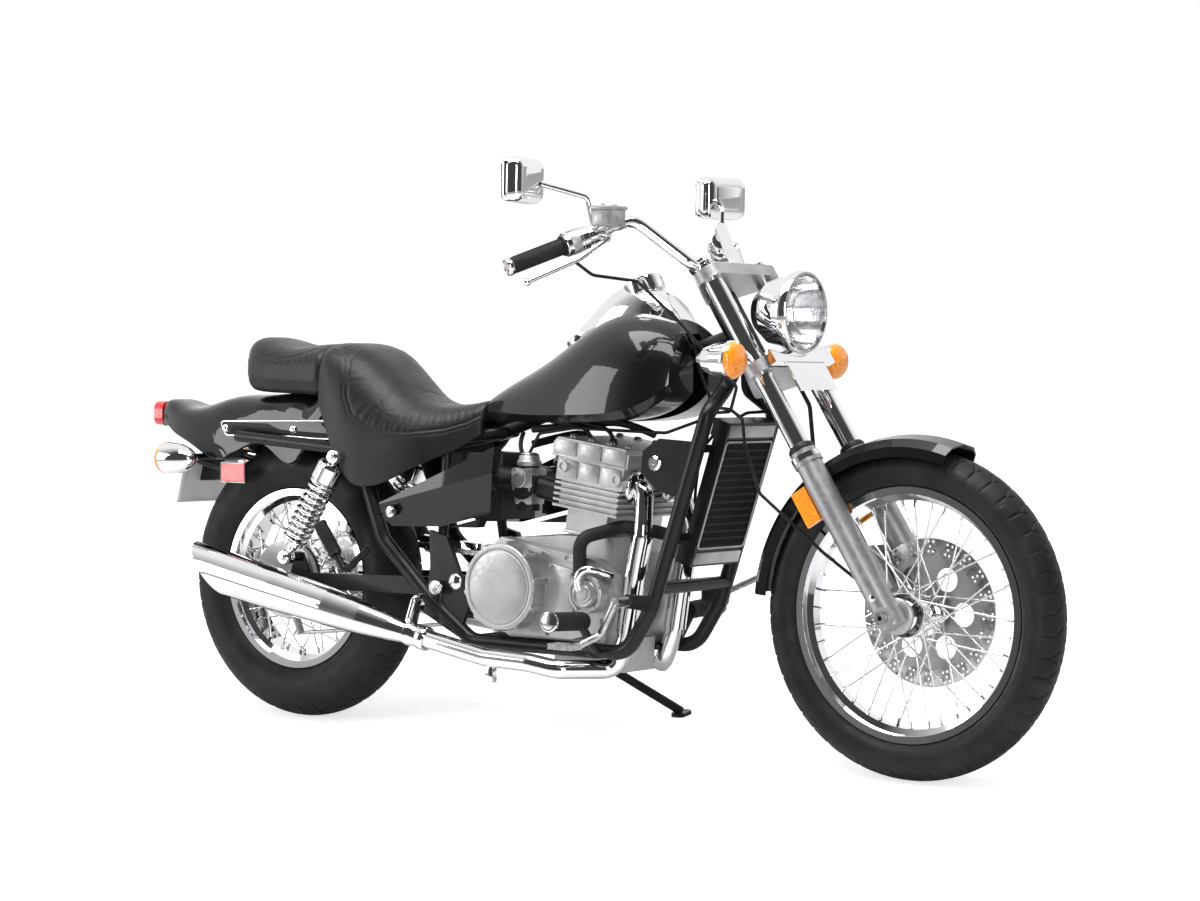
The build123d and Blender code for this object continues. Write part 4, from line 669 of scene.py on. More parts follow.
def joined(name, pieces):
    """Several pieces as one object."""
    bpy.ops.object.select_all(action="DESELECT")
    for piece in pieces:
        piece.select_set(True)
    bpy.context.view_layer.objects.active = pieces[0]
    if len(pieces) > 1:
        bpy.ops.object.join()
    pieces[0].name = name
    pieces[0].data.name = name
    return pieces[0]


def copies(name, model, matrices):
    """One object holding a copy of the model's mesh at every matrix."""
    made = []
    for matrix in matrices:
        mesh = model.data.copy()
        mesh.transform(matrix)
        copy = bpy.data.objects.new(name, mesh)
        bpy.context.scene.collection.objects.link(copy)
        made.append(copy)
    bpy.data.objects.remove(model)
    return joined(name, made)


def mirrored(piece):
    """The piece and its mirror image on the other side of the machine, as one object."""
    mesh = piece.data.copy()
    mesh.transform(Matrix.Scale(-1, 4, (0, 1, 0)))
    mesh.flip_normals()
    twin = bpy.data.objects.new(piece.name + "_twin", mesh)
    bpy.context.scene.collection.objects.link(twin)
    return joined(piece.name, [piece, twin])


def park(piece, finish_name, body, smooth_deg=30):
    """Brings a finished piece to the shared frame, with its finish and its body."""
    piece.data.transform(PARK @ piece.matrix_world)
    piece.matrix_world = Matrix.Identity(4)
    return dress(piece, finish_name, body, smooth_deg)


# %% [markdown]
# ## Tyres
# A road tyre is one turned ring, and its tread is cut afterwards. The grid of the crown is fine
# enough for grooves of 3 mm, so they are cut for real: each point near a groove moves inwards.
# Two marks alternate round the tyre, one a fork and one a hook with a fork.

# %% Tread marks
TREAD_MARKS = (
    (0.00, ((0, 46), (0, 22), (-8, 12))),
    (0.00, ((0, 22), (15, 8))),
    (0.50, ((-12, 41), (-2, 44), (0, 24), (-9, 13))),
    (0.50, ((0, 24), (15, 9))),
)


def groove_depth(run, across, pitch, stretch):
    """Depth of the tread at many points of the crown, from the nearest mark on either side."""
    side_run = np.where(across > 0, run, run + pitch * 0.25)
    y = np.abs(across) / stretch
    nearest = np.full(len(run), 99.0)
    for phase, line in TREAD_MARKS:
        s = ((side_run / pitch - phase + 0.5) % 1.0 - 0.5) * pitch / stretch
        for (s0, y0), (s1, y1) in zip(line, line[1:]):
            ds, dy = s1 - s0, y1 - y0
            t = np.clip(((s - s0) * ds + (y - y0) * dy) / (ds * ds + dy * dy), 0, 1)
            nearest = np.minimum(nearest, np.hypot(s - s0 - t * ds, y - y0 - t * dy))
    return 3.6 * np.exp(-((nearest * stretch / 1.9) ** 2))


def arc_points(start, middle, end, count):
    """Points on the circle through three points, the last one left out."""
    (ax, ay), (bx, by), (cx, cy) = start, middle, end
    d = 2 * (ax * (by - cy) + bx * (cy - ay) + cx * (ay - by))
    a_sq, b_sq, c_sq = ax * ax + ay * ay, bx * bx + by * by, cx * cx + cy * cy
    ux = (a_sq * (by - cy) + b_sq * (cy - ay) + c_sq * (ay - by)) / d
    uy = (a_sq * (cx - bx) + b_sq * (ax - cx) + c_sq * (bx - ax)) / d
    radius = math.hypot(ax - ux, ay - uy)
    a0 = math.atan2(ay - uy, ax - ux)
    a1 = math.atan2(by - uy, bx - ux)
    a2 = math.atan2(cy - uy, cx - ux)
    sweep = (a2 - a0 + math.pi) % math.tau - math.pi
    if abs(((a1 - a0 + math.pi) % math.tau - math.pi)) > abs(sweep):
        sweep -= math.copysign(math.tau, sweep)
    return [(ux + radius * math.cos(a0 + sweep * k / count),
             uy + radius * math.sin(a0 + sweep * k / count))
            for k in range(count)]


def treaded_tyre(name, radius, width, crown, rim_radius, rim_width, x, z, steps, pitches, body):
    half = width / 2
    bead, lip = rim_width / 2 - 5.3, rim_radius + 0.3
    crown_y = half * 0.72
    crown_z = radius - crown + math.sqrt(crown ** 2 - crown_y ** 2)
    wall = lip + (crown_z - lip) * 0.5
    outline = [(-bead, lip - 11)]
    outline += arc_points((-bead, lip), (-half, wall), (-crown_y, crown_z), 10)
    outline += arc_points((-crown_y, crown_z), (0, radius), (crown_y, crown_z), 34)
    outline += arc_points((crown_y, crown_z), (half, wall), (bead, lip), 10)
    outline += [(bead, lip), (bead, lip - 11), (-bead, lip - 11)]
    made = turned(name, outline, (0, 0, 0), (0, 1, 0), steps)
    pitch = math.tau * radius / pitches
    flat = np.empty(3 * len(made.data.vertices))
    made.data.vertices.foreach_get("co", flat)
    points = flat.reshape(-1, 3)
    reach = np.hypot(points[:, 0], points[:, 2])
    run = (np.arctan2(points[:, 2], points[:, 0]) + math.pi) * radius
    inward = np.clip((reach - crown_z + 14) / 10, 0, 1)
    shrink = 1 - groove_depth(run, points[:, 1], pitch, width / 102) * inward / reach
    points[:, 0] *= shrink
    points[:, 2] *= shrink
    made.data.vertices.foreach_set("co", flat)
    made.data.transform(Matrix.Translation((x, 0, z)))
    park(made, "tyre_rubber", body, 50)
    print(name, "triangles", sum(len(p.vertices) - 2 for p in made.data.polygons))
    return made


front_tread = treaded_tyre("front_tyre_tread", 331.3, 102, 50, 255.3, 68, FRONT_X, FRONT_Z, 900, 24,
                           "front_wheel")
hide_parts("front_tyre")
rear_tread = treaded_tyre("rear_tyre_tread", 316.5, 140, 72, 204.5, 96, REAR_X, REAR_Z, 860, 20,
                          "rear_wheel")
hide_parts("rear_tyre")

# %% [markdown]
# ## Springs
# A shock is a damper inside a coil spring. The coil is a curve wound by its own formula, with
# the last half turn at each end laid flat against its seat.

# %% Shock absorbers
SHOCK_TOP, SHOCK_FOOT = Vector((REAR_X + 204, -148, 603)), Vector((REAR_X + 64, -148, 374))
shock_way = (SHOCK_TOP - SHOCK_FOOT).normalized()
shock_length = (SHOCK_TOP - SHOCK_FOOT).length
COIL_TURNS, COIL_R, WIRE_R = 10.5, 26.5, 4.3
coil = []
for k in range(int(COIL_TURNS * 16) + 1):
    share = k / (COIL_TURNS * 16)
    height = 50 + (shock_length - 118) * min(max((share - 0.04) / 0.92, 0), 1)
    angle = math.tau * COIL_TURNS * share
    coil.append((COIL_R * math.cos(angle), COIL_R * math.sin(angle), height))
spring = tube("shock_springs", coil, WIRE_R, 3)
spring.data.transform(frame_at(SHOCK_FOOT, shock_way))
park(mirrored(spring), "plated", "chassis", 60)

body_outline = [(24, 0), (24, 12), (38, 15), (40, 27), (46, 27), (47, 17), (shock_length - 90, 17),
                (shock_length - 89, 7.5), (shock_length - 66, 7.5), (shock_length - 64, 24),
                (shock_length - 60, 31),
                (shock_length - 24, 31), (shock_length - 18, 26), (shock_length - 16, 0)]
damper = turned("shock_dampers", body_outline, SHOCK_FOOT, shock_way, 40)
eyes = [turned("eye", [(-13, 0), (-13, 14), (-10, 16), (10, 16), (13, 14), (13, 0)], place, (0, 1, 0), 28)
        for place in (SHOCK_FOOT + Vector((0, -1, 0)), SHOCK_TOP)]
eyes += [tube("arm", [SHOCK_FOOT, SHOCK_FOOT + shock_way * 30], 9, 4, False),
         tube("arm", [SHOCK_TOP, SHOCK_TOP - shock_way * 30], 10, 4, False)]
eyes += [hexagon("nut", SHOCK_FOOT + Vector((0, -14, 0)), (0, -1, 0), 14, 8, 10),
         hexagon("nut", SHOCK_TOP + Vector((0, -13, 0)), (0, -1, 0), 14, 7, 10)]
dampers = park(mirrored(joined("shock_dampers", [damper, *eyes])), "plated", "chassis", 35)
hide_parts("shocks")

# %% [markdown]
# ## Chain
# A roller chain alternates inner links with rollers and outer links with pins. One link of each
# kind is modelled and copied along the line of the chain round both sprockets.

# %% Drive chain
CHAIN_Y, CHAIN_REAR_R, CHAIN_FRONT_R = 85.0, 99.5, 36.0
CHAIN_FRONT = Vector((-203.5, 0, 345.0))
CHAIN_REAR = Vector((REAR_X, 0, REAR_Z))
chain_run = CHAIN_FRONT - CHAIN_REAR
slope = math.atan2(chain_run.z, chain_run.x)
spread = math.acos((CHAIN_REAR_R - CHAIN_FRONT_R) / chain_run.length)


def on_circle(centre, radius, angle):
    return Vector((centre.x + radius * math.cos(angle), CHAIN_Y, centre.z + radius * math.sin(angle)))


chain_line = []
for k in range(49):
    chain_line.append(on_circle(CHAIN_REAR, CHAIN_REAR_R,
                                slope + spread + (math.tau - 2 * spread) * k / 48))
for k in range(33):
    chain_line.append(on_circle(CHAIN_FRONT, CHAIN_FRONT_R, slope - spread + 2 * spread * k / 32))
chain_line.append(chain_line[0])
walk = np.concatenate([[0], np.cumsum([(b - a).length for a, b in zip(chain_line, chain_line[1:])])])
LINKS = 2 * round(walk[-1] / 15.875 / 2)
link_pitch = walk[-1] / LINKS


def chain_point(distance):
    distance %= walk[-1]
    return Vector([float(np.interp(distance, walk, [p[c] for p in chain_line])) for c in range(3)])


def link_plate(y, thick, waist):
    """One side plate, a figure of eight with flat faces."""
    bpy.ops.object.select_all(action="DESELECT")
    bpy.ops.mesh.primitive_circle_add(vertices=12, radius=waist, fill_type="NGON",
                                      rotation=(math.pi / 2, 0, 0))
    made = bpy.context.active_object
    bpy.ops.object.transform_apply(location=True, rotation=True, scale=True)
    for vertex in made.data.vertices:
        vertex.co.x += link_pitch / 2 if vertex.co.x > 0 else -link_pitch / 2
        vertex.co.y = y
    bpy.ops.object.mode_set(mode="EDIT")
    bpy.ops.mesh.select_all(action="SELECT")
    bpy.ops.mesh.extrude_region_move(TRANSFORM_OT_translate={"value": (0, thick, 0)})
    bpy.ops.mesh.select_all(action="SELECT")
    bpy.ops.mesh.normals_make_consistent(inside=False)
    bpy.ops.object.mode_set(mode="OBJECT")
    return made


def link_rods(radius, y_half):
    rods = []
    for x in (-link_pitch / 2, link_pitch / 2):
        bpy.ops.object.select_all(action="DESELECT")
        bpy.ops.mesh.primitive_cylinder_add(vertices=10, radius=radius, depth=2 * y_half,
                                            location=(x, 0, 0),
                                            rotation=(math.pi / 2, 0, 0))
        made = bpy.context.active_object
        bpy.ops.object.transform_apply(location=True, rotation=True, scale=True)
        rods.append(made)
    return rods


inner_link = joined("inner_link", [link_plate(-5.6, 1.5, 6.6), link_plate(4.1, 1.5, 6.6),
                                   *link_rods(4.6, 4.1)])
outer_link = joined("outer_link", [link_plate(-7.4, 1.5, 6.2), link_plate(5.9, 1.5, 6.2),
                                   *link_rods(2.4, 7.9)])
link_matrices = ([], [])
for k in range(LINKS):
    a, b = chain_point(k * link_pitch), chain_point((k + 1) * link_pitch)
    link_turn = (b - a).to_track_quat("X", "Z").to_matrix().to_4x4()
    link_matrices[k % 2].append(Matrix.Translation((a + b) / 2) @ link_turn)
chain_links = joined("chain_links", [copies("inner", inner_link, link_matrices[0]),
                                     copies("outer", outer_link, link_matrices[1])])
park(chain_links, "turned_steel", "chassis", 30)
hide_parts("drive_chain")
print("chain links", LINKS, "pitch", round(link_pitch, 2))

# %% [markdown]
# ## Small boxes and bolts
# rounded_box() bevels a box, and plate() raises an outline of x and z into a bevelled plate on one
# side of the machine. bolts() copies one bolt head to many places.

# %% Box, plate and bolt helpers


def rounded_box(name, place, size, round_by, turn=None, segments=2):
    """A bevelled box at a place, turned by a matrix if one is given."""
    bpy.ops.object.select_all(action="DESELECT")
    bpy.ops.mesh.primitive_cube_add(size=1)
    made = bpy.context.active_object
    made.name = name
    made.data.transform(Matrix.Diagonal((*size, 1)))
    bpy.ops.object.mode_set(mode="EDIT")
    bpy.ops.mesh.select_all(action="SELECT")
    bpy.ops.mesh.bevel(offset=round_by, segments=segments)
    bpy.ops.object.mode_set(mode="OBJECT")
    made.data.transform(Matrix.Translation(place) @ (turn or Matrix.Identity(4)))
    return made


def plate(name, outline, y_face, thick, round_by=1.0):
    """A plate whose outline is in x and z, raised from a side face of the machine towards the outside."""
    bpy.ops.object.select_all(action="DESELECT")
    bpy.ops.mesh.primitive_circle_add(vertices=len(outline), radius=1, fill_type="NGON")
    made = bpy.context.active_object
    made.name = name
    for vertex, (x, z) in zip(made.data.vertices, outline):
        vertex.co = (x, y_face, z)
    bpy.ops.object.mode_set(mode="EDIT")
    bpy.ops.mesh.select_all(action="SELECT")
    way = -1 if y_face < 0 else 1
    bpy.ops.mesh.extrude_region_move(TRANSFORM_OT_translate={"value": (0, way * thick, 0)})
    bpy.ops.mesh.bevel(offset=round_by, segments=2)
    bpy.ops.mesh.select_all(action="SELECT")
    bpy.ops.mesh.normals_make_consistent(inside=False)
    bpy.ops.object.mode_set(mode="OBJECT")
    return made


def rounded_outline(corners, radius, steps=4):
    """The corners of an outline, each cut round by short steps."""
    made = []
    count = len(corners)
    for k in range(count):
        before, here, after = (Vector((*corners[(k + d) % count], 0)) for d in (-1, 0, 1))
        into, out = (before - here).normalized(), (after - here).normalized()
        reach = min(radius, (before - here).length * 0.45, (after - here).length * 0.45)
        a, b = here + into * reach, here + out * reach
        for step in range(steps + 1):
            t = step / steps
            point = a * (1 - t) ** 2 + here * 2 * t * (1 - t) + b * t ** 2
            made.append((point.x, point.y))
    return made


def bolts(name, places, way, across, height, washer=0.0):
    """One bolt head copied to every place, all facing one way."""
    model = hexagon(name, (0, 0, 0), (0, 0, 1), across, height, washer)
    return copies(name, model, [frame_at(place, way) for place in places])


TILT = Matrix.Translation((58, 0, 457)) @ Matrix.Rotation(math.radians(7.6), 4, "Y")
RIGHT, LEFT = (0, -1, 0), (0, 1, 0)
print("engine tilt", [round(v, 1) for v in TILT @ Vector((0, 0, 100))])

# %% [markdown]
# ## The engine's right side
# The clutch cover is turned with a groove round a shallow dome. Next to it are a flat panel and
# the coolant pump with its spiral cover, and above are the ribbed head and its cover.

# %% Clutch cover, side panel and pump
CASE_FACE = -145.5
CLUTCH = (-101.0, 345.0)
PUMP = (116.0, 343.0)
lid = turned("clutch_lid", [(-12, 0), (-12, 91.8), (2, 91.8), (4.6, 89.6), (5.2, 84), (4.8, 81),
                            (2.6, 79.5), (2.4, 77), (4.8, 75), (6.2, 68), (7.6, 40), (8.2, 0)],
             (CLUTCH[0], -185.2, CLUTCH[1]), RIGHT, 96)
lid_angles = [math.radians(36 * k + 10) for k in range(10)]
lid_bolts = bolts("lid_bolts", [(CLUTCH[0] + 91 * math.cos(angle), -183.6,
                                 CLUTCH[1] + 91 * math.sin(angle)) for angle in lid_angles],
                  RIGHT, 7.5, 4.5, 6)
panel = plate("side_panel", rounded_outline([(-2, 402), (66, 388), (66, 266), (-2, 258)], 9),
              CASE_FACE + 0.5, 4.5, 1.4)
upper_panel = plate("upper_panel", rounded_outline([(-58, 437), (26, 415), (104, 404), (150, 382),
                                                    (150, 374), (98, 394),
                                                    (22, 405), (-60, 425)], 4), CASE_FACE + 0.5, 3.0, 1.0)
pump_cover = turned("pump_cover", [(-8, 0), (-8, 42.6), (2, 42.6), (4, 40), (4, 35), (1.5, 34), (1.5, 31),
                                   (7, 28),
                                   (9, 20), (9, 15), (12, 13), (13, 0)], (PUMP[0], -177.2, PUMP[1]),
                    RIGHT, 48)
swirl = tube("pump_swirl", [(PUMP[0] + (12 + 17 * k / 14) * math.cos(0.42 * k), -186.0,
                             PUMP[1] + (12 + 17 * k / 14) * math.sin(0.42 * k)) for k in range(15)], 4.2,
             3)
elbow = tube("pump_elbow", [(PUMP[0] - 8, -188, PUMP[1] + 8), (PUMP[0] - 12, -196, PUMP[1] + 30),
                            (PUMP[0] + 6, -190, PUMP[1] + 54), (PUMP[0] + 30, -166, PUMP[1] + 46),
                            (PUMP[0] + 40, -140, PUMP[1] + 36)], 8.5, 5)
case_bolts = bolts("case_bolts", [(74, CASE_FACE, 382), (74, CASE_FACE, 270), (-8, CASE_FACE, 250),
                                  (92, CASE_FACE, 396),
                                  (150, CASE_FACE, 356), (152, CASE_FACE, 322), (134, CASE_FACE, 284),
                                  (40, CASE_FACE, 412), (-20, CASE_FACE, 420), (58, CASE_FACE - 3, 378),
                                  (6, CASE_FACE - 3, 392), (6, CASE_FACE - 3, 268),
                                  (58, CASE_FACE - 3, 276)],
                   RIGHT, 8, 5, 7.5)
pump_bolts = bolts("pump_bolts", [(PUMP[0] + 38 * math.cos(math.radians(a)), -178.6,
                                   PUMP[1] + 38 * math.sin(math.radians(a)))
                                  for a in (20, 95, 165, 240, 310)], RIGHT, 7, 4.5, 5.5)
right_side = joined("engine_right_details", [lid, lid_bolts, panel, upper_panel, pump_cover, swirl,
                                             case_bolts, pump_bolts])
park(right_side, "satin_casting", "chassis", 35)
park(elbow, "plated", "chassis", 50)

# %% Head, head cover and cylinder
head_parts = []
for k in range(3):
    head_parts.append(rounded_box("cover_panel", (-64 + 64 * k, -117.5, 178), (57, 7, 33), 2.5))
    head_parts.append(rounded_box("head_panel", (-56 + 56 * k, -112, 134), (49, 6, 38), 2.5))
head_parts.append(rounded_box("cover_edge", (0, 0, 160), (199, 239, 5), 1.5))
head_parts.append(rounded_box("base_edge", (0, 0, 3), (112, 212, 7), 1.5))
for x, z in ((-66, 138), (74, 132)):
    head_parts.append(turned("head_boss", [(0, 0), (0, 13), (10, 12), (10, 8), (7, 7.5), (7, 0)],
                             (x, -112, z), RIGHT, 24))
for k in range(4):
    for side in (-1, 1):
        head_parts.append(turned("cover_bolt", [(0, 0), (0, 10), (5, 9), (8, 6), (8, 0)],
                                 (-72 + 48 * k, side * 84, 197), (0, 0, 1), 16))
head_details = joined("head_details", head_parts)
head_details.data.transform(TILT)
park(head_details, "satin_casting", "chassis", 35)

# %% [markdown]
# ## Carburettors, leads and pipes
# The carburettors sit behind the cylinders, half in shadow. Plug leads, a breather pipe and the
# throttle cables fill the dark space under the tank.

# %% Carburettors and the space under the tank
CARB = (-118.0, 566.0)
carb_parts = []
for side in (-1, 1):
    carb_parts += [
        turned("carb_dome", [(0, 0), (0, 25), (4, 27), (9, 27), (12, 24), (22, 22), (28, 16), (30, 0)],
               (CARB[0], side * 66, 598), (0, 0, 1), 32),
        rounded_box("carb_body", (CARB[0], side * 66, 572), (58, 56, 44), 6),
        rounded_box("carb_bowl", (CARB[0] + 2, side * 66, 532), (50, 50, 36), 8),
        turned("choke_boss", [(0, 0), (0, 19), (6, 19), (8, 15), (13, 13), (14, 0)],
               (CARB[0] - 2, side * 93, 570),
               (0, side, 0), 24),
        turned("float_plug", [(0, 0), (0, 8), (8, 8), (10, 5), (10, 0)], (CARB[0] + 2, side * 66, 513),
               (0, 0, -1), 16),
    ]
carb_parts.append(bolts("bowl_screws", [(CARB[0] + dx, -92, z) for dx,
                                        z in ((-20, 548), (22, 548), (-20, 590), (22, 590))],
                        RIGHT, 6, 3.5, 0))
park(joined("carburettors", carb_parts), "satin_casting", "chassis", 35)

leads = []
for k, x in enumerate((34, 92)):
    leads.append(tube("plug_lead", [(x, -52, 650), (x + 6, -60, 676), (x - 40, -62, 690),
                                    (x - 110, -46, 694)], 4.5, 3))
leads.append(tube("breather", [(-40, 74, 640), (-70, 84, 668), (-130, 70, 660), (-190, 40, 640)], 9, 4))
leads.append(tube("loom", [(190, -40, 672), (120, -46, 700), (20, -42, 690), (-120, -52, 676)], 8, 4))
leads.append(tube("fuel_pipe", [(-150, -46, 668), (-146, -70, 640), (-132, -70, 622)], 5, 3))
park(joined("engine_leads", leads), "ribbed_rubber", "chassis", 60)
plugs = [turned("plug_cap", [(0, 0), (0, 13), (14, 11), (30, 9), (34, 6), (34, 0)], (x, -52, 628),
                (0.1, -0.1, 1), 18)
         for x in (34, 92)]
park(joined("plug_caps", plugs), "moulded_black", "chassis", 40)

# %% [markdown]
# ## Radiator
# The core is a black block with fine upright fins, inside a bright rim. The end tanks are bare
# alloy.

# %% Core, rim and end tanks
CRADLE_X, HEAD_X = 250.0, 376.0
RAD_FOOT, RAD_TOP = Vector((CRADLE_X + 50, 0, 410)), Vector((HEAD_X + 16, 0, 708))
rad_way = (RAD_TOP - RAD_FOOT).normalized()
rad_length = (RAD_TOP - RAD_FOOT).length
RAD = Matrix(((rad_way.z, 0, rad_way.x, RAD_FOOT.x), (0, 1, 0, 0), (-rad_way.x, 0, rad_way.z, RAD_FOOT.z),
              (0, 0, 0, 1)))
fin = rounded_box("fin", (0, 0, 0), (5, 1.1, rad_length - 76), 0.3, segments=1)
fins = copies("radiator_fins", fin, [RAD @ Matrix.Translation((18.4, -81 + 4.5 * k,
                                                               rad_length / 2)) for k in range(37)])
park(fins, "powder_black", "chassis", 30)
rim_corners = rounded_outline([(-86, 40), (86, 40), (86, rad_length - 40), (-86, rad_length - 40)], 10)
rim_line = tube("radiator_rim", [(21.5, y, z) for y, z in rim_corners], 2.2, 3, False, True)
tanks = [rounded_box("end_tank", (20, 0, z), (4, 168, 26), 1.6) for z in (18, rad_length - 18)]
bright = joined("radiator_bright", [rim_line, *tanks])
bright.data.transform(RAD)
park(bright, "satin_casting", "chassis", 40)

# %% [markdown]
# ## Wheels
# Each spoke ends in a nipple at the rim. The front disc is drilled in groups of five, and its
# carrier has six round openings.

# %% Nipples, disc and hub details


def nipples(name, count, rim_r, reach, x, z, body):
    """A nipple where each spoke meets the rim."""
    model = turned("nipple", [(0, 0), (0, 3.6), (9, 3.0), (15, 2.6), (15, 0)], (0, 0, 0), (0, 0, 1), 8)
    places = []
    for k in range(count):
        angle = math.radians(360 * k / count)
        outward = Vector((math.cos(angle), 0, math.sin(angle)))
        side = -1 if k % 2 == 0 else 1
        places.append(frame_at(Vector((x, side * reach, z)) + outward * (rim_r - 27),
                               -outward + Vector((0, side * 0.12, 0))))
    park(copies(name, model, places), "plated", body, 40)


nipples("front_nipples", 40, 255.3, 5, FRONT_X, FRONT_Z, "front_wheel")
nipples("rear_nipples", 40, 204.5, 8, REAR_X, REAR_Z, "rear_wheel")


def cut_by(made, cutters):
    """Cuts one joined object out of another."""
    cutter = joined("cutters", cutters)
    only(made)
    bpy.ops.object.modifier_add(type="BOOLEAN")
    cut = made.modifiers[-1]
    cut.operation = "DIFFERENCE"
    cut.object = cutter
    bpy.ops.object.modifier_apply(modifier=cut.name)
    bpy.data.objects.remove(cutter)
    return made


def hole_cutter(radius, angle, hole_r, y, steps):
    bpy.ops.object.select_all(action="DESELECT")
    bpy.ops.mesh.primitive_cylinder_add(vertices=steps, radius=hole_r, depth=30,
                                        rotation=(math.pi / 2, 0, 0),
                                        location=(radius * math.cos(angle), y, radius * math.sin(angle)))
    made = bpy.context.active_object
    bpy.ops.object.transform_apply(location=True, rotation=True, scale=True)
    return made


DISC_Y = 61.0
ring = turned("disc_ring", [(-2.5, 115), (-2.5, 149.2), (-2, 150), (2, 150), (2.5, 149.2), (2.5, 115),
                            (-2.5, 115)],
              (0, DISC_Y, 0), LEFT, 120)
holes = []
for k in range(20):
    for radius, lean in ((123, -1.6), (123, 1.6), (133, 0.4), (143, -1.6), (143, 1.6)):
        holes.append(hole_cutter(radius, math.radians(18 * k + lean * 1.4), 3.0, DISC_Y, 8))
cut_by(ring, holes)
carrier = turned("disc_carrier", [(-2.4, 18), (-2.4, 116.5), (3.4, 116.5), (3.4, 108), (2.4, 106),
                                  (2.4, 34), (4.5, 32),
                                  (4.5, 18), (-2.4, 18)], (0, DISC_Y, 0), LEFT, 96)
cut_by(carrier, [hole_cutter(78, math.radians(60 * k), 24, DISC_Y, 36) for k in range(6)])
rivets = bolts("disc_bolts", [(42 * math.cos(math.radians(60 * k + 30)), DISC_Y + 2.4,
                               42 * math.sin(math.radians(60 * k + 30)))
                              for k in range(6)], LEFT, 10, 5, 8)
for made in (ring, carrier, rivets):
    made.data.transform(Matrix.Translation((FRONT_X, 0, FRONT_Z)))
park(carrier, "satin_casting", "front_wheel", 35)
disc = park(joined("drilled_disc", [ring, rivets]), "turned_steel", "front_wheel", 35)
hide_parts("brake_disc")
print("disc triangles", len(disc.data.polygons))

HUB = Vector((FRONT_X, 0, FRONT_Z))
hub_parts = [turned("hub_flange", [(-4, 0), (-4, 43.5), (-2, 45), (2, 45), (4, 43.5), (4, 0)],
                    HUB + Vector((0, -38, 0)), LEFT, 48),
             turned("hub_shell", [(0, 0), (0, 26), (6, 30), (20, 33), (38, 34), (58, 33), (72, 30),
                                  (76, 0)],
                    HUB + Vector((0, -38, 0)), LEFT, 48)]
park(joined("front_hub_shell", hub_parts), "plated", "front_wheel", 40)
speed_drive = turned("speed_drive", [(0, 0), (0, 34), (4, 37), (12, 37), (15, 33), (17, 22), (17, 0)],
                     HUB + Vector((0, -62, 0)), RIGHT, 40)
drive_neck = tube("drive_neck", [HUB + Vector((-30, -70, 6)), HUB + Vector((-54, -72, 22))], 9, 4, False)
park(joined("speed_drive", [speed_drive, drive_neck]), "satin_casting", "fork", 35)

# %% [markdown]
# ## Fork legs
# Below each tube is a cast slider with a dust seal, a pinch bolt and a drain screw.

# %% Seals and bolts of the fork
FORK_OFFSET = (FRONT_X - STEER_X) * RAKE_COS + FRONT_Z * RAKE_SIN
AXLE_S = (FRONT_X - STEER_X) * -RAKE_SIN + FRONT_Z * RAKE_COS
STEER_AXIS = Vector((-RAKE_SIN, 0, RAKE_COS))
seals, fork_bright = [], []
for side in (-1, 1):
    seals.append(turned("dust_seal", [(0, 21), (0, 27.6), (6, 27.6), (12, 24.5), (14, 21), (0, 21)],
                        STEER @ Vector((FORK_OFFSET, side * 98, 740)), STEER_AXIS, 36))
    fork_bright.append(turned("slider_lip", [(-4, 24), (-4, 30.6), (8, 30.6), (10, 28), (10, 24),
                                             (-4, 24)],
                              STEER @ Vector((FORK_OFFSET, side * 98, 722)), STEER_AXIS, 40))
    fork_bright.append(bolts("pinch_bolt", [STEER @ Vector((FORK_OFFSET - 20, side * 127.5, AXLE_S + 4))],
                             (0, side, 0), 10, 6, 8))
    fork_bright.append(turned("drain_screw", [(0, 0), (0, 7), (5, 7), (6, 5), (6, 0)],
                              STEER @ Vector((FORK_OFFSET + 2, side * 125, AXLE_S + 44)), (0, side, 0),
                              16))
    fork_bright.append(turned("tube_cap", [(0, 0), (0, 18), (5, 18), (9, 14), (10, 0)],
                              STEER @ Vector((FORK_OFFSET, side * 98, 1184.5)), STEER_AXIS, 32))
park(joined("dust_seals", seals), "moulded_black", "fork", 40)
park(joined("fork_bolts", fork_bright), "plated", "fork", 40)

# %% [markdown]
# ## Handlebar ends
# The grips are ribbed rubber between a plated collar and a plated end. The switch housings have a
# seam and buttons, and the brake fluid reservoir is a bevelled box with a lid.

# %% Grips, housings and levers
BAR_MIDDLE = STEER @ Vector((20.0, 0, 1207.0))
BAR_CORNER = BAR_MIDDLE + Vector((-95, 163, 94))
BAR_WAY = (BAR_MIDDLE + Vector((-241, 395, -13)) - BAR_CORNER).normalized()


def on_bar(distance, side):
    point = BAR_CORNER + BAR_WAY * distance
    return Vector((point.x, side * point.y, point.z))


def bar_way(side):
    return Vector((BAR_WAY.x, side * BAR_WAY.y, BAR_WAY.z))


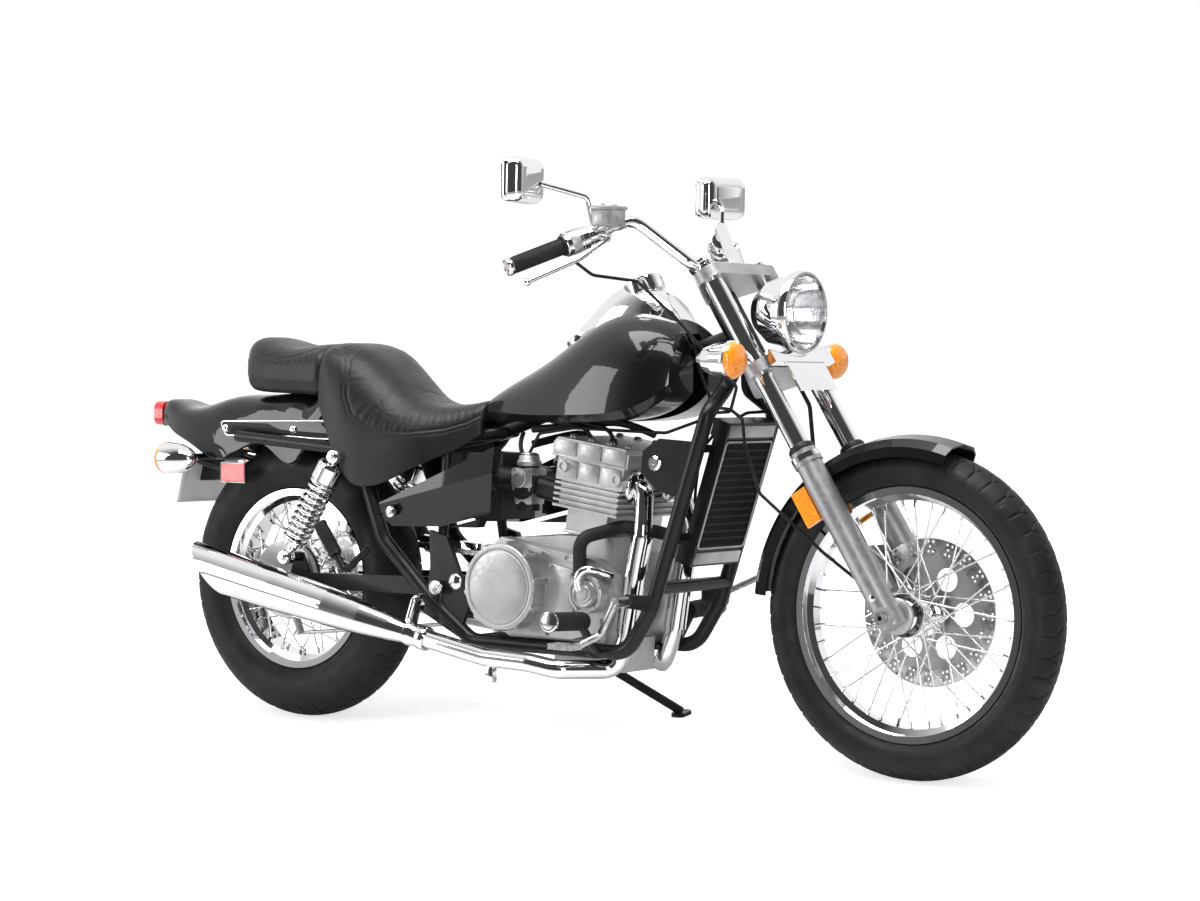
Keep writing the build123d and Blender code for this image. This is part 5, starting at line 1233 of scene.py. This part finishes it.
sleeves, bar_bright, housings = [], [], []
for side in (-1, 1):
    outline = [(0, 12.8), (0, 17.5)]
    for k in range(24):
        outline += [(4 + 4.6 * k, 17.6), (6.6 + 4.6 * k, 17.6), (7.2 + 4.6 * k, 16.7),
                    (8.0 + 4.6 * k, 16.7)]
    outline += [(119, 17.6), (121, 12.8), (0, 12.8)]
    sleeves.append(turned("grip", outline, on_bar(164, side), bar_way(side), 32))
    bar_bright.append(turned("grip_collar", [(0, 12.9), (0, 20), (2, 21.5), (6, 21.5), (8, 20),
                                             (10, 18.4), (12, 18.4), (12, 12.9), (0, 12.9)],
                             on_bar(155, side), bar_way(side), 36))
    bar_bright.append(turned("grip_end", [(0, 0), (0, 17.8), (2, 18.6), (9, 18.6), (11, 17.5), (12, 13),
                                          (9, 11), (9, 0)],
                             on_bar(283.5, side), bar_way(side), 36))
    housings.append(turned("switch_housing", [(0, 13), (0, 19), (3, 22), (18, 25.4), (19, 24.6),
                                              (21, 24.6), (22, 25.6),
                                              (42, 25.6), (46, 23), (48, 19), (48, 13), (0, 13)],
                           on_bar(108, side), bar_way(side), 40))
    housings.append(rounded_box("switch_block", on_bar(128, side) + Vector((-22, 0, 4)), (16, 26, 22), 4))
    bar_bright.append(turned("perch", [(0, 13), (0, 18), (2, 20.5), (24, 20.5), (26, 18), (26, 13),
                                       (0, 13)],
                             on_bar(78, side), bar_way(side), 32))
buttons = [rounded_box("button", on_bar(128, side) + Vector((-31, 0, 8)), (6, 10, 7),
                       1.5) for side in (-1, 1)]
park(joined("grip_sleeves", sleeves), "ribbed_rubber", "fork", 40)
park(joined("bar_collars", bar_bright), "plated", "fork", 40)
park(joined("switch_housings", housings), "satin_casting", "fork", 35)
park(joined("switch_buttons", buttons), "moulded_black", "fork", 35)

reservoir_at = on_bar(86, -1) + Vector((30, 0, 30))
reservoir = [rounded_box("reservoir", reservoir_at + Vector((0, 0, 1)), (49, 55, 37), 5),
             rounded_box("lid", reservoir_at + Vector((0, 0, 21)), (54, 60, 8), 3),
             bolts("lid_screws", [tuple(reservoir_at + Vector((0, dy, 25))) for dy in (-21, 21)],
                   (0, 0, 1), 7, 3, 5),
             turned("sight_glass", [(0, 0), (0, 9), (3, 9), (4, 6.5), (4, 0)],
                    reservoir_at + Vector((24, 0, 0)), (1, 0, 0), 24)]
park(joined("brake_reservoir", reservoir), "satin_casting", "fork", 35)

# %% [markdown]
# ## Mirrors
# Each shell is a rounded block that narrows to the front, with flat glass set in its wide face.

# %% Mirror shells and glass
shells, glasses = [], []
for side in (-1, 1):
    centre = Vector((HEAD_X - 296, side * 362, 1188))
    turn_in = Matrix.Rotation(math.radians(-side * 12), 4, "Z")
    shell = rounded_box("mirror_shell", (0, 0, 0), (48, 128, 94), 16, segments=5)
    for vertex in shell.data.vertices:
        share = (vertex.co.x + 24) / 48
        vertex.co.y *= 1.02 - 0.36 * share ** 1.6
        vertex.co.z *= 1.02 - 0.34 * share ** 1.6
    shell.data.transform(Matrix.Translation(centre) @ turn_in)
    shells.append(shell)
    face = rounded_box("mirror_glass", (-24.4, 0, 0), (1.6, 112, 78), 0.7)
    face.data.transform(Matrix.Translation(centre) @ turn_in)
    glasses.append(face)
park(joined("mirror_shells", shells), "plated", "fork", 50)
park(joined("mirror_glass", glasses), "mirror_glass", "fork", 30)

# %% [markdown]
# ## Lamps
# Behind the headlight's glass are a bright reflector and a shielded bulb. The signals get amber
# lenses with rings of prisms, and the rear ones get plated bodies.

# %% Headlight, signals and reflectors
LAMP = Vector((HEAD_X + 148, 0, 931))
reflector = turned("lamp_reflector", [(-88, 12), (-80, 26), (-62, 44), (-40, 58), (-12, 71), (-9, 72.5),
                                      (-9, 74), (-14, 73),
                                      (-42, 60), (-64, 46), (-82, 28), (-90, 12), (-88, 12)], LAMP,
                   (1, 0, 0), 72)
bulb = turned("bulb", [(-96, 0), (-96, 11), (-78, 11), (-76, 7), (-60, 7), (-54, 4), (-52, 0)], LAMP,
              (1, 0, 0), 24)
shield = turned("bulb_shield", [(-46, 0), (-46, 13), (-38, 15), (-36, 12), (-34, 0)], LAMP, (1, 0, 0), 28)
bezel = turned("lamp_bezel", [(-16, 79), (-14, 84.5), (-6, 86), (4, 85), (8, 82), (8, 77.5), (5, 76.6),
                              (5, 78.5), (-14, 78.6),
                              (-16, 79)], LAMP, (1, 0, 0), 80)
park(joined("headlight_inside", [reflector, bulb, shield]), "mirror_glass", "fork", 40)
park(bezel, "plated", "fork", 40)

SIGNAL = Vector((HEAD_X + 104, -194, 832))
lens_outline = [(2.5, 0), (2.5, 35), (5, 37.4), (8, 37), (12, 34.8), (14, 32.6), (15, 33.2), (18, 30),
                (20, 26), (21, 26.6),
                (23, 21), (25, 14), (26.5, 7), (27, 0)]
front_lens = turned("signal_lens", lens_outline, SIGNAL, (1, 0, 0), 48)
park(mirrored(front_lens), "amber_lens", "fork", 20)
signal_ring = turned("signal_ring", [(-6, 36), (-6, 38), (-2, 39), (3, 38.6), (4, 36), (-6, 36)], SIGNAL,
                     (1, 0, 0), 48)
park(mirrored(signal_ring), "plated", "fork", 40)

REAR_SIGNAL = Vector((REAR_X - 300, -150, 584))
rear_body = turned("rear_signal_body", [(-82.5, 0), (-78.5, 12.6), (-60.5, 25.6), (-36.5, 33.6),
                                        (0, 37.2), (3.5, 37.2), (4, 36),
                                        (4, 0)], REAR_SIGNAL, (-1, 0, 0), 48)
park(mirrored(rear_body), "plated", "chassis", 40)
rear_lens = turned("rear_signal_lens", lens_outline, REAR_SIGNAL, (-1, 0, 0), 48)
park(mirrored(rear_lens), "amber_lens", "chassis", 20)
side_red = rounded_box("side_reflector", (REAR_X - 144, -101.5, 555), (73, 6, 43), 2)
park(mirrored(side_red), "red_lens", "chassis", 20)
red_frame = tube("reflector_frame", [(REAR_X - 144 + dx, -103, 555 + dz) for dx, dz in
                                     rounded_outline([(-37, -22), (37, -22), (37, 22), (-37, 22)], 4)],
                 1.6, 2, False, True)
park(mirrored(red_frame), "plated", "chassis", 40)

# %% [markdown]
# ## Number plate
# The plate is bare pale metal with a pressed rim, two bolts and no marks.

# %% Blank plate
plate_turn = Matrix.Rotation(math.radians(14), 4, "Y")
plate_at = Vector((REAR_X - 318, 0, 530))
blank = rounded_box("blank_plate", plate_at, (5.2, 182, 106), 2.2, plate_turn)
corners = rounded_outline([(-86, -48), (86, -48), (86, 48), (-86, 48)], 10)
rims = [tube("plate_rim", [plate_at + plate_turn @ Vector((face, y, z)) for y, z in corners], 1.1, 2,
             False, True)
        for face in (-2.8, 2.8)]
plate_bolts = bolts("plate_bolts", [plate_at + plate_turn @ Vector((-2.6, y, 34)) for y in (-62, 62)],
                    plate_turn @ Vector((-1, 0, 0)), 8, 4, 6)
park(joined("blank_plate", [blank, *rims, plate_bolts]), "plate_metal", "chassis", 30)

# %% [markdown]
# ## Bodywork trim
# A raised strip with a bright edge runs along each side of the rear fender, with two round-headed
# bolts. The side covers are held by one bolt each in a plated ring.

# %% Fender strips and cover bolts
strip_outline = rounded_outline([(-982, 672), (-664, 681), (-636, 640), (-700, 640), (-760, 643),
                                 (-966, 640)], 12, 5)
strip = plate("fender_strip", strip_outline, -95, 8.0, 1.5)
park(mirrored(strip), "gloss_black", "chassis", 40)
strip_edge = tube("strip_edge", [(x, -102.6, z) for x, z in strip_outline], 2.0, 3, False, True)
domes = [turned("strip_bolt", [(0, 0), (0, 10), (3, 9.4), (6, 7), (7.5, 3.6), (6.4, 3.2), (6.4, 0)],
                (x, -102.8, z), RIGHT, 24)
         for x, z in ((-966, 656), (-760, 659))]
cover_bolt = turned("cover_bolt", [(0, 0), (0, 12.5), (3, 13), (6, 11.5), (6.5, 9), (4, 8), (4, 6.5),
                                   (7, 5.5), (7.6, 0)],
                    (-408, -176, 490), RIGHT, 32)
pivot_cap = turned("pivot_cap", [(-6, 0), (-6, 16.6), (2, 18), (5, 16), (7.5, 9), (8, 0)],
                   (-263.5, -131.5, 344), RIGHT, 32)
park(mirrored(joined("bright_trim", [strip_edge, *domes, cover_bolt, pivot_cap])), "plated",
     "chassis", 40)

# %% [markdown]
# ## Exhaust
# A shield covers the header, a flange sits at the port, a clamp closes the joint and a small tab sits low
# down.

# %% Header shield, flange, clamp and tab
EXHAUST_Y = -185.0
MUFFLER_START = Vector((REAR_X + 482, EXHAUST_Y + 3, 224))
MUFFLER_END = Vector((REAR_X - 172, EXHAUST_Y, 348))
muffler_way = (MUFFLER_END - MUFFLER_START).normalized()
shield = tube("header_shield", [(197, -90, 462), (187, -90, 418), (176.5, -90, 360), (168, -89, 305),
                                (161.5, -88, 258)], 23.4, 8)
port_flange = turned("port_flange", [(-4, 0), (-4, 34), (0, 36), (5, 36), (8, 33), (12, 24), (12, 0)],
                     TILT @ Vector((86.4, -66, 118)), TILT.to_3x3() @ Vector((1, 0, 0)), 32)
clamp_band = turned("clamp_band", [(-20, 21), (-20, 25.6), (-17, 26.6), (-3, 26.6), (0, 25.6), (0, 24.4),
                                   (22, 24.4),
                                   (24, 26.4), (34, 26.4), (36, 24), (36, 20), (-20, 21)], MUFFLER_START,
                    muffler_way, 48)
clamp_bolt = bolts("clamp_bolt", [MUFFLER_START + muffler_way * 28 + Vector((0, -8, 26))], (0, -0.2, 1),
                   10, 8, 7)
drain = rounded_box("exhaust_tab", (-122, EXHAUST_Y, 158), (22, 18, 34), 3)
park(mirrored(joined("exhaust_fittings", [shield, port_flange, clamp_band, clamp_bolt, drain])), "plated",
     "chassis", 45)

# %% [markdown]
# ## Foot pegs
# Rubber with rings of ribs covers each rider's peg, with a plated end.

# %% Peg rubbers and ends
PEG_X, PEG_Z = 126.0, 287.0
rib_outline = [(0, 0), (0, 19)]
for k in range(15):
    rib_outline += [(5 + 7 * k, 19.6), (9 + 7 * k, 19.6), (10 + 7 * k, 17.8), (11 + 7 * k, 17.8)]
rib_outline += [(112, 19), (114, 17), (114, 0)]
peg_rubber = turned("peg_rubber", rib_outline, (PEG_X, -198, PEG_Z + 0.4), Vector((0, -124, 6)), 28)
park(mirrored(peg_rubber), "ribbed_rubber", "chassis", 35)
peg_end = turned("peg_end", [(0, 0), (0, 21), (3, 22), (7, 21), (9, 16), (9.5, 0)],
                 (PEG_X, -309, PEG_Z + 5.6), Vector((0, -124, 6)), 36)
park(mirrored(peg_end), "plated", "chassis", 40)
RUBBER_R, RIB_PITCH = 14.5, 6.4
ribbed = [(0, 0), (0, RUBBER_R)]
for k in range(12):
    for step, rise in ((3, 0.8), (6, 0.8), (7, -0.8), (8, -0.8)):
        ribbed.append((step + RIB_PITCH * k, RUBBER_R + rise))
ribbed += [(82, RUBBER_R), (84, 0)]
passenger_rubber = turned("passenger_rubber", ribbed, (-622, -166, 455), Vector((50, 0, -68)), 24)
park(mirrored(passenger_rubber), "ribbed_rubber", "chassis", 35)

# %% [markdown]
# ## Console on the tank
# The plated console carries one dial, which faces the rider. Behind it is the filler cap.

# %% Dial and filler cap
dial_at, dial_way = Vector((HEAD_X - 250, 0, 989)), Vector((-0.42, 0, 0.9))
dial = turned("dial_ring", [(-24, 0), (-24, 42), (0, 43), (6, 42), (8, 39), (5, 37.5), (3.5, 36),
                            (3.5, 0)], dial_at, dial_way, 56)
cap = turned("filler_cap", [(-8, 0), (-8, 36), (4, 37), (8, 35), (10, 26), (11, 24), (12, 0)],
             Vector((HEAD_X - 404, 0, 869)), Vector((-0.5, 0, 0.87)), 48)
park(joined("dial_and_cap", [dial, cap]), "plated", "chassis", 40)
dial_face = turned("dial_face", [(0, 0), (0, 35.6), (0.8, 35.6), (0.8, 0)], dial_at + dial_way * 3.6,
                   dial_way, 48)
park(dial_face, "moulded_black", "chassis", 30)
needle = rounded_box("needle", (0, 12, 0), (1.6, 26, 1.0), 0.3, segments=1)
needle.data.transform(frame_at(dial_at + dial_way * 5.2, dial_way))
marks = rounded_box("dial_mark", (0, 0, 0), (1.2, 5, 0.5), 0.15, segments=1)
mark_matrices = []
for k in range(25):
    around = Matrix.Rotation(math.radians(-120 + 10 * k), 4, "Z")
    mark_matrices.append(frame_at(dial_at + dial_way * 4.6,
                                  dial_way) @ around @ Matrix.Translation((0, 31, 0)))
dial_marks = copies("dial_marks", marks, mark_matrices)
park(joined("dial_marks", [dial_marks, needle]), "plate_metal", "chassis", 30)

# %% [markdown]
# ## Frame fittings
# Bolts hold the head bracket, the engine, the fender and the brake panel. Welds are too fine to show.

# %% Bolts of the frame and the rear wheel
frame_bolts = [
    turned("bracket_bolt", [(0, 0), (0, 15), (3, 15.6), (5, 13), (7, 11), (7, 4), (5, 3), (5, 0)],
           (256, -132.4, 617), RIGHT, 32),
    bolts("engine_bolts", [(-300, -149.5, 330)], RIGHT, 15, 7, 14),
    bolts("shock_nuts", [(REAR_X + 204, -163, 603)], RIGHT, 14, 7, 11),
    bolts("axle_nut", [(REAR_X, -122.4, REAR_Z)], RIGHT, 22, 12, 17),
]
park(mirrored(joined("frame_bolts", frame_bolts)), "plated", "chassis", 35)
adjusters = rounded_box("chain_adjuster", (REAR_X - 34, -110.8, REAR_Z), (34, 3, 22), 1.2)
park(mirrored(adjusters), "turned_steel", "chassis", 30)
brake_lever = [tube("brake_arm", [(REAR_X + 30, -92, REAR_Z - 60), (REAR_X + 46, -94, REAR_Z - 92),
                                  (REAR_X + 60, -94, REAR_Z - 118)], 6, 3, False),
               turned("arm_boss", [(-5, 0), (-5, 12), (6, 12), (7, 9), (7, 0)],
                      (REAR_X + 30, -92, REAR_Z - 60), RIGHT, 24),
               bolts("arm_nut", [(REAR_X + 60, -99, REAR_Z - 118)], RIGHT, 10, 6, 0)]
park(joined("rear_brake_arm", brake_lever), "satin_casting", "chassis", 35)

# %% [markdown]
# ## Cables from the bars and the hub
# The throttle and clutch cables hang from the bars to the frame and the speedometer cable runs from
# the hub to the dial, each crossing from the fork to the frame.

# %% Control and dial cables
def bending_cable(name, points):
    """A cable along points, parked and finished, and left without a body."""
    path = [Vector(points[0])]
    for a, b in zip(points, points[1:]):
        a, b = Vector(a), Vector(b)
        count = max(2, round((b - a).length / 14))
        path += [a.lerp(b, k / count) for k in range(1, count + 1)]
    made = tube(name, path, 3.5, 3)
    made.data.transform(PARK)
    dress(made, "moulded_black", None, 60)
    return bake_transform(made)


throttle = bending_cable("throttle_cable", [
    (138, -264, 1028), (166, -238, 1000), (222, -160, 990), STEER @ Vector((-62, -98, 1130)),
    STEER @ Vector((-46, -84, 1040)), STEER @ Vector((-20, -80, 940)), (400, -74, 726), (350, -64, 722),
    (318, -62, 706), (236, -66, 678), (110, -66, 680), (0, -66, 682), (-92, -66, 668), (-118, -66, 625),
])
clutch = bending_cable("clutch_cable", [
    (148, 243, 1047), (184, 215, 1020), (234, 150, 1004), STEER @ Vector((-62, 98, 1130)),
    STEER @ Vector((-46, 84, 1040)), STEER @ Vector((-20, 80, 940)), (400, 74, 726), (350, 66, 722),
    (318, 66, 706), (256, 96, 682), (196, 123, 636), (186, 123, 560), (180, 125, 490), (158, 126, 440),
    (128, 126, 404),
])
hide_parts("control_cables")
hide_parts("control_cables")
dial_drive = bending_cable("dial_drive_cable", [
    (FRONT_X - 22, -63, FRONT_Z + 26), (FRONT_X - 70, -63, FRONT_Z + 50),
    (FRONT_X - 170, -70, FRONT_Z + 116),
    (FRONT_X - 320, -78, FRONT_Z + 230), (FRONT_X - 366, -66, FRONT_Z + 326), (418, -56, 712),
    (382, -46, 730), (338, -42, 734), (306, -44, 800), (284, -40, 866), (258, -25, 888),
])
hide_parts("speedometer_cable")

# %% [markdown]
# ## The studio
# A white floor runs out of view. The room is white behind the machine and dark behind the camera,
# as a studio is, so that paint facing the camera stays black and plating gets dark bands. Two soft
# boxes, one overhead and one at the camera's right, draw the long highlights.

# %% Floor, room and lamps
floor_finish = Finish("studio_floor", roughness=0.9)
floor_finish.set(base_color=floor_finish.blend(floor_finish.noise(2.0), (0.84, 0.84, 0.84, 1),
                                               (0.86, 0.86, 0.86, 1)))
glow = floor_finish.add("ShaderNodeEmission", sockets={"Color": (1, 1, 1, 1), "Strength": 0.64})
dark = floor_finish.add("ShaderNodeEmission", sockets={"Color": (0, 0, 0, 1), "Strength": 0.0})
path = floor_finish.add("ShaderNodeLightPath", output="Is Camera Ray")
lift = floor_finish.add("ShaderNodeMixShader", sockets={0: path, 1: dark, 2: glow})
both = floor_finish.add("ShaderNodeAddShader", sockets={0: Wire(floor_finish,
                                                                floor_finish.shader.outputs[0]), 1: lift})
floor_finish.tree.links.new(both.socket, floor_finish.tree.nodes["Material Output"].inputs["Surface"])

bpy.ops.object.select_all(action="DESELECT")
bpy.ops.mesh.primitive_plane_add(size=60, location=(0, 0, 0))
floor = bpy.context.active_object
floor.name = "studio_floor"
floor.data.materials.append(floor_finish.material)

world = bpy.data.worlds.new("studio")
bpy.context.scene.world = world
world.use_nodes = True
tree = world.node_tree
tree.nodes.clear()


def world_node(kind, settings=None, sockets=None):
    node = tree.nodes.new(kind)
    for name, value in (settings or {}).items():
        setattr(node, name, value)
    for name, value in (sockets or {}).items():
        if hasattr(value, "is_linked"):
            tree.links.new(value, node.inputs[name])
        else:
            node.inputs[name].default_value = value
    return node


backdrop_way = tuple(-(turn @ back.to_4d()).to_3d().normalized())
direction = world_node("ShaderNodeTexCoord").outputs["Generated"]
facing = world_node("ShaderNodeVectorMath", {"operation": "DOT_PRODUCT"}, {0: direction, 1: backdrop_way})
room = world_node("ShaderNodeMapRange", {"clamp": True}, {
    "Value": facing.outputs["Value"], "From Min": -0.45, "From Max": 0.1, "To Min": 0.06, "To Max": 1.0})
light_path = world_node("ShaderNodeLightPath")
seen = world_node("ShaderNodeMath", {"operation": "MAXIMUM"}, {
    0: light_path.outputs["Is Glossy Ray"], 1: light_path.outputs["Is Transmission Ray"]})
level_light = world_node("ShaderNodeMix", {"data_type": "FLOAT"}, {
    0: seen.outputs[0], 2: 0.45, 3: room.outputs[0]})
strength = world_node("ShaderNodeMix", {"data_type": "FLOAT"}, {
    0: light_path.outputs["Is Camera Ray"], 2: level_light.outputs[0], 3: 1.0})
background = world_node("ShaderNodeBackground", sockets={"Color": (1, 1, 1, 1),
                                                         "Strength": strength.outputs[0]})
output = world_node("ShaderNodeOutputWorld", sockets={"Surface": background.outputs[0]})


def soft_box(name, place, aim, width, height, watts):
    """A rectangular lamp that faces a point."""
    data = bpy.data.lights.new(name, "AREA")
    data.shape = "RECTANGLE"
    data.size = width
    data.size_y = height
    data.energy = watts
    lamp = bpy.data.objects.new(name, data)
    bpy.context.scene.collection.objects.link(lamp)
    way = (Vector(aim) - Vector(place)).normalized()
    lamp.matrix_world = Matrix.Translation(place) @ way.to_track_quat("-Z", "Y").to_matrix().to_4x4()
    return lamp


soft_box("overhead", (0.2, -0.6, 3.4), (0, 0, 0.4), 3.2, 1.6, 130)
soft_box("camera_side", (3.4, -3.4, 1.9), (0, 0, 0.5), 0.7, 2.6, 60)
soft_box("rear_side", (-3.0, -2.8, 1.6), (-0.2, 0, 0.5), 1.2, 2.2, 45)
bpy.context.scene.view_settings.view_transform = "Standard"
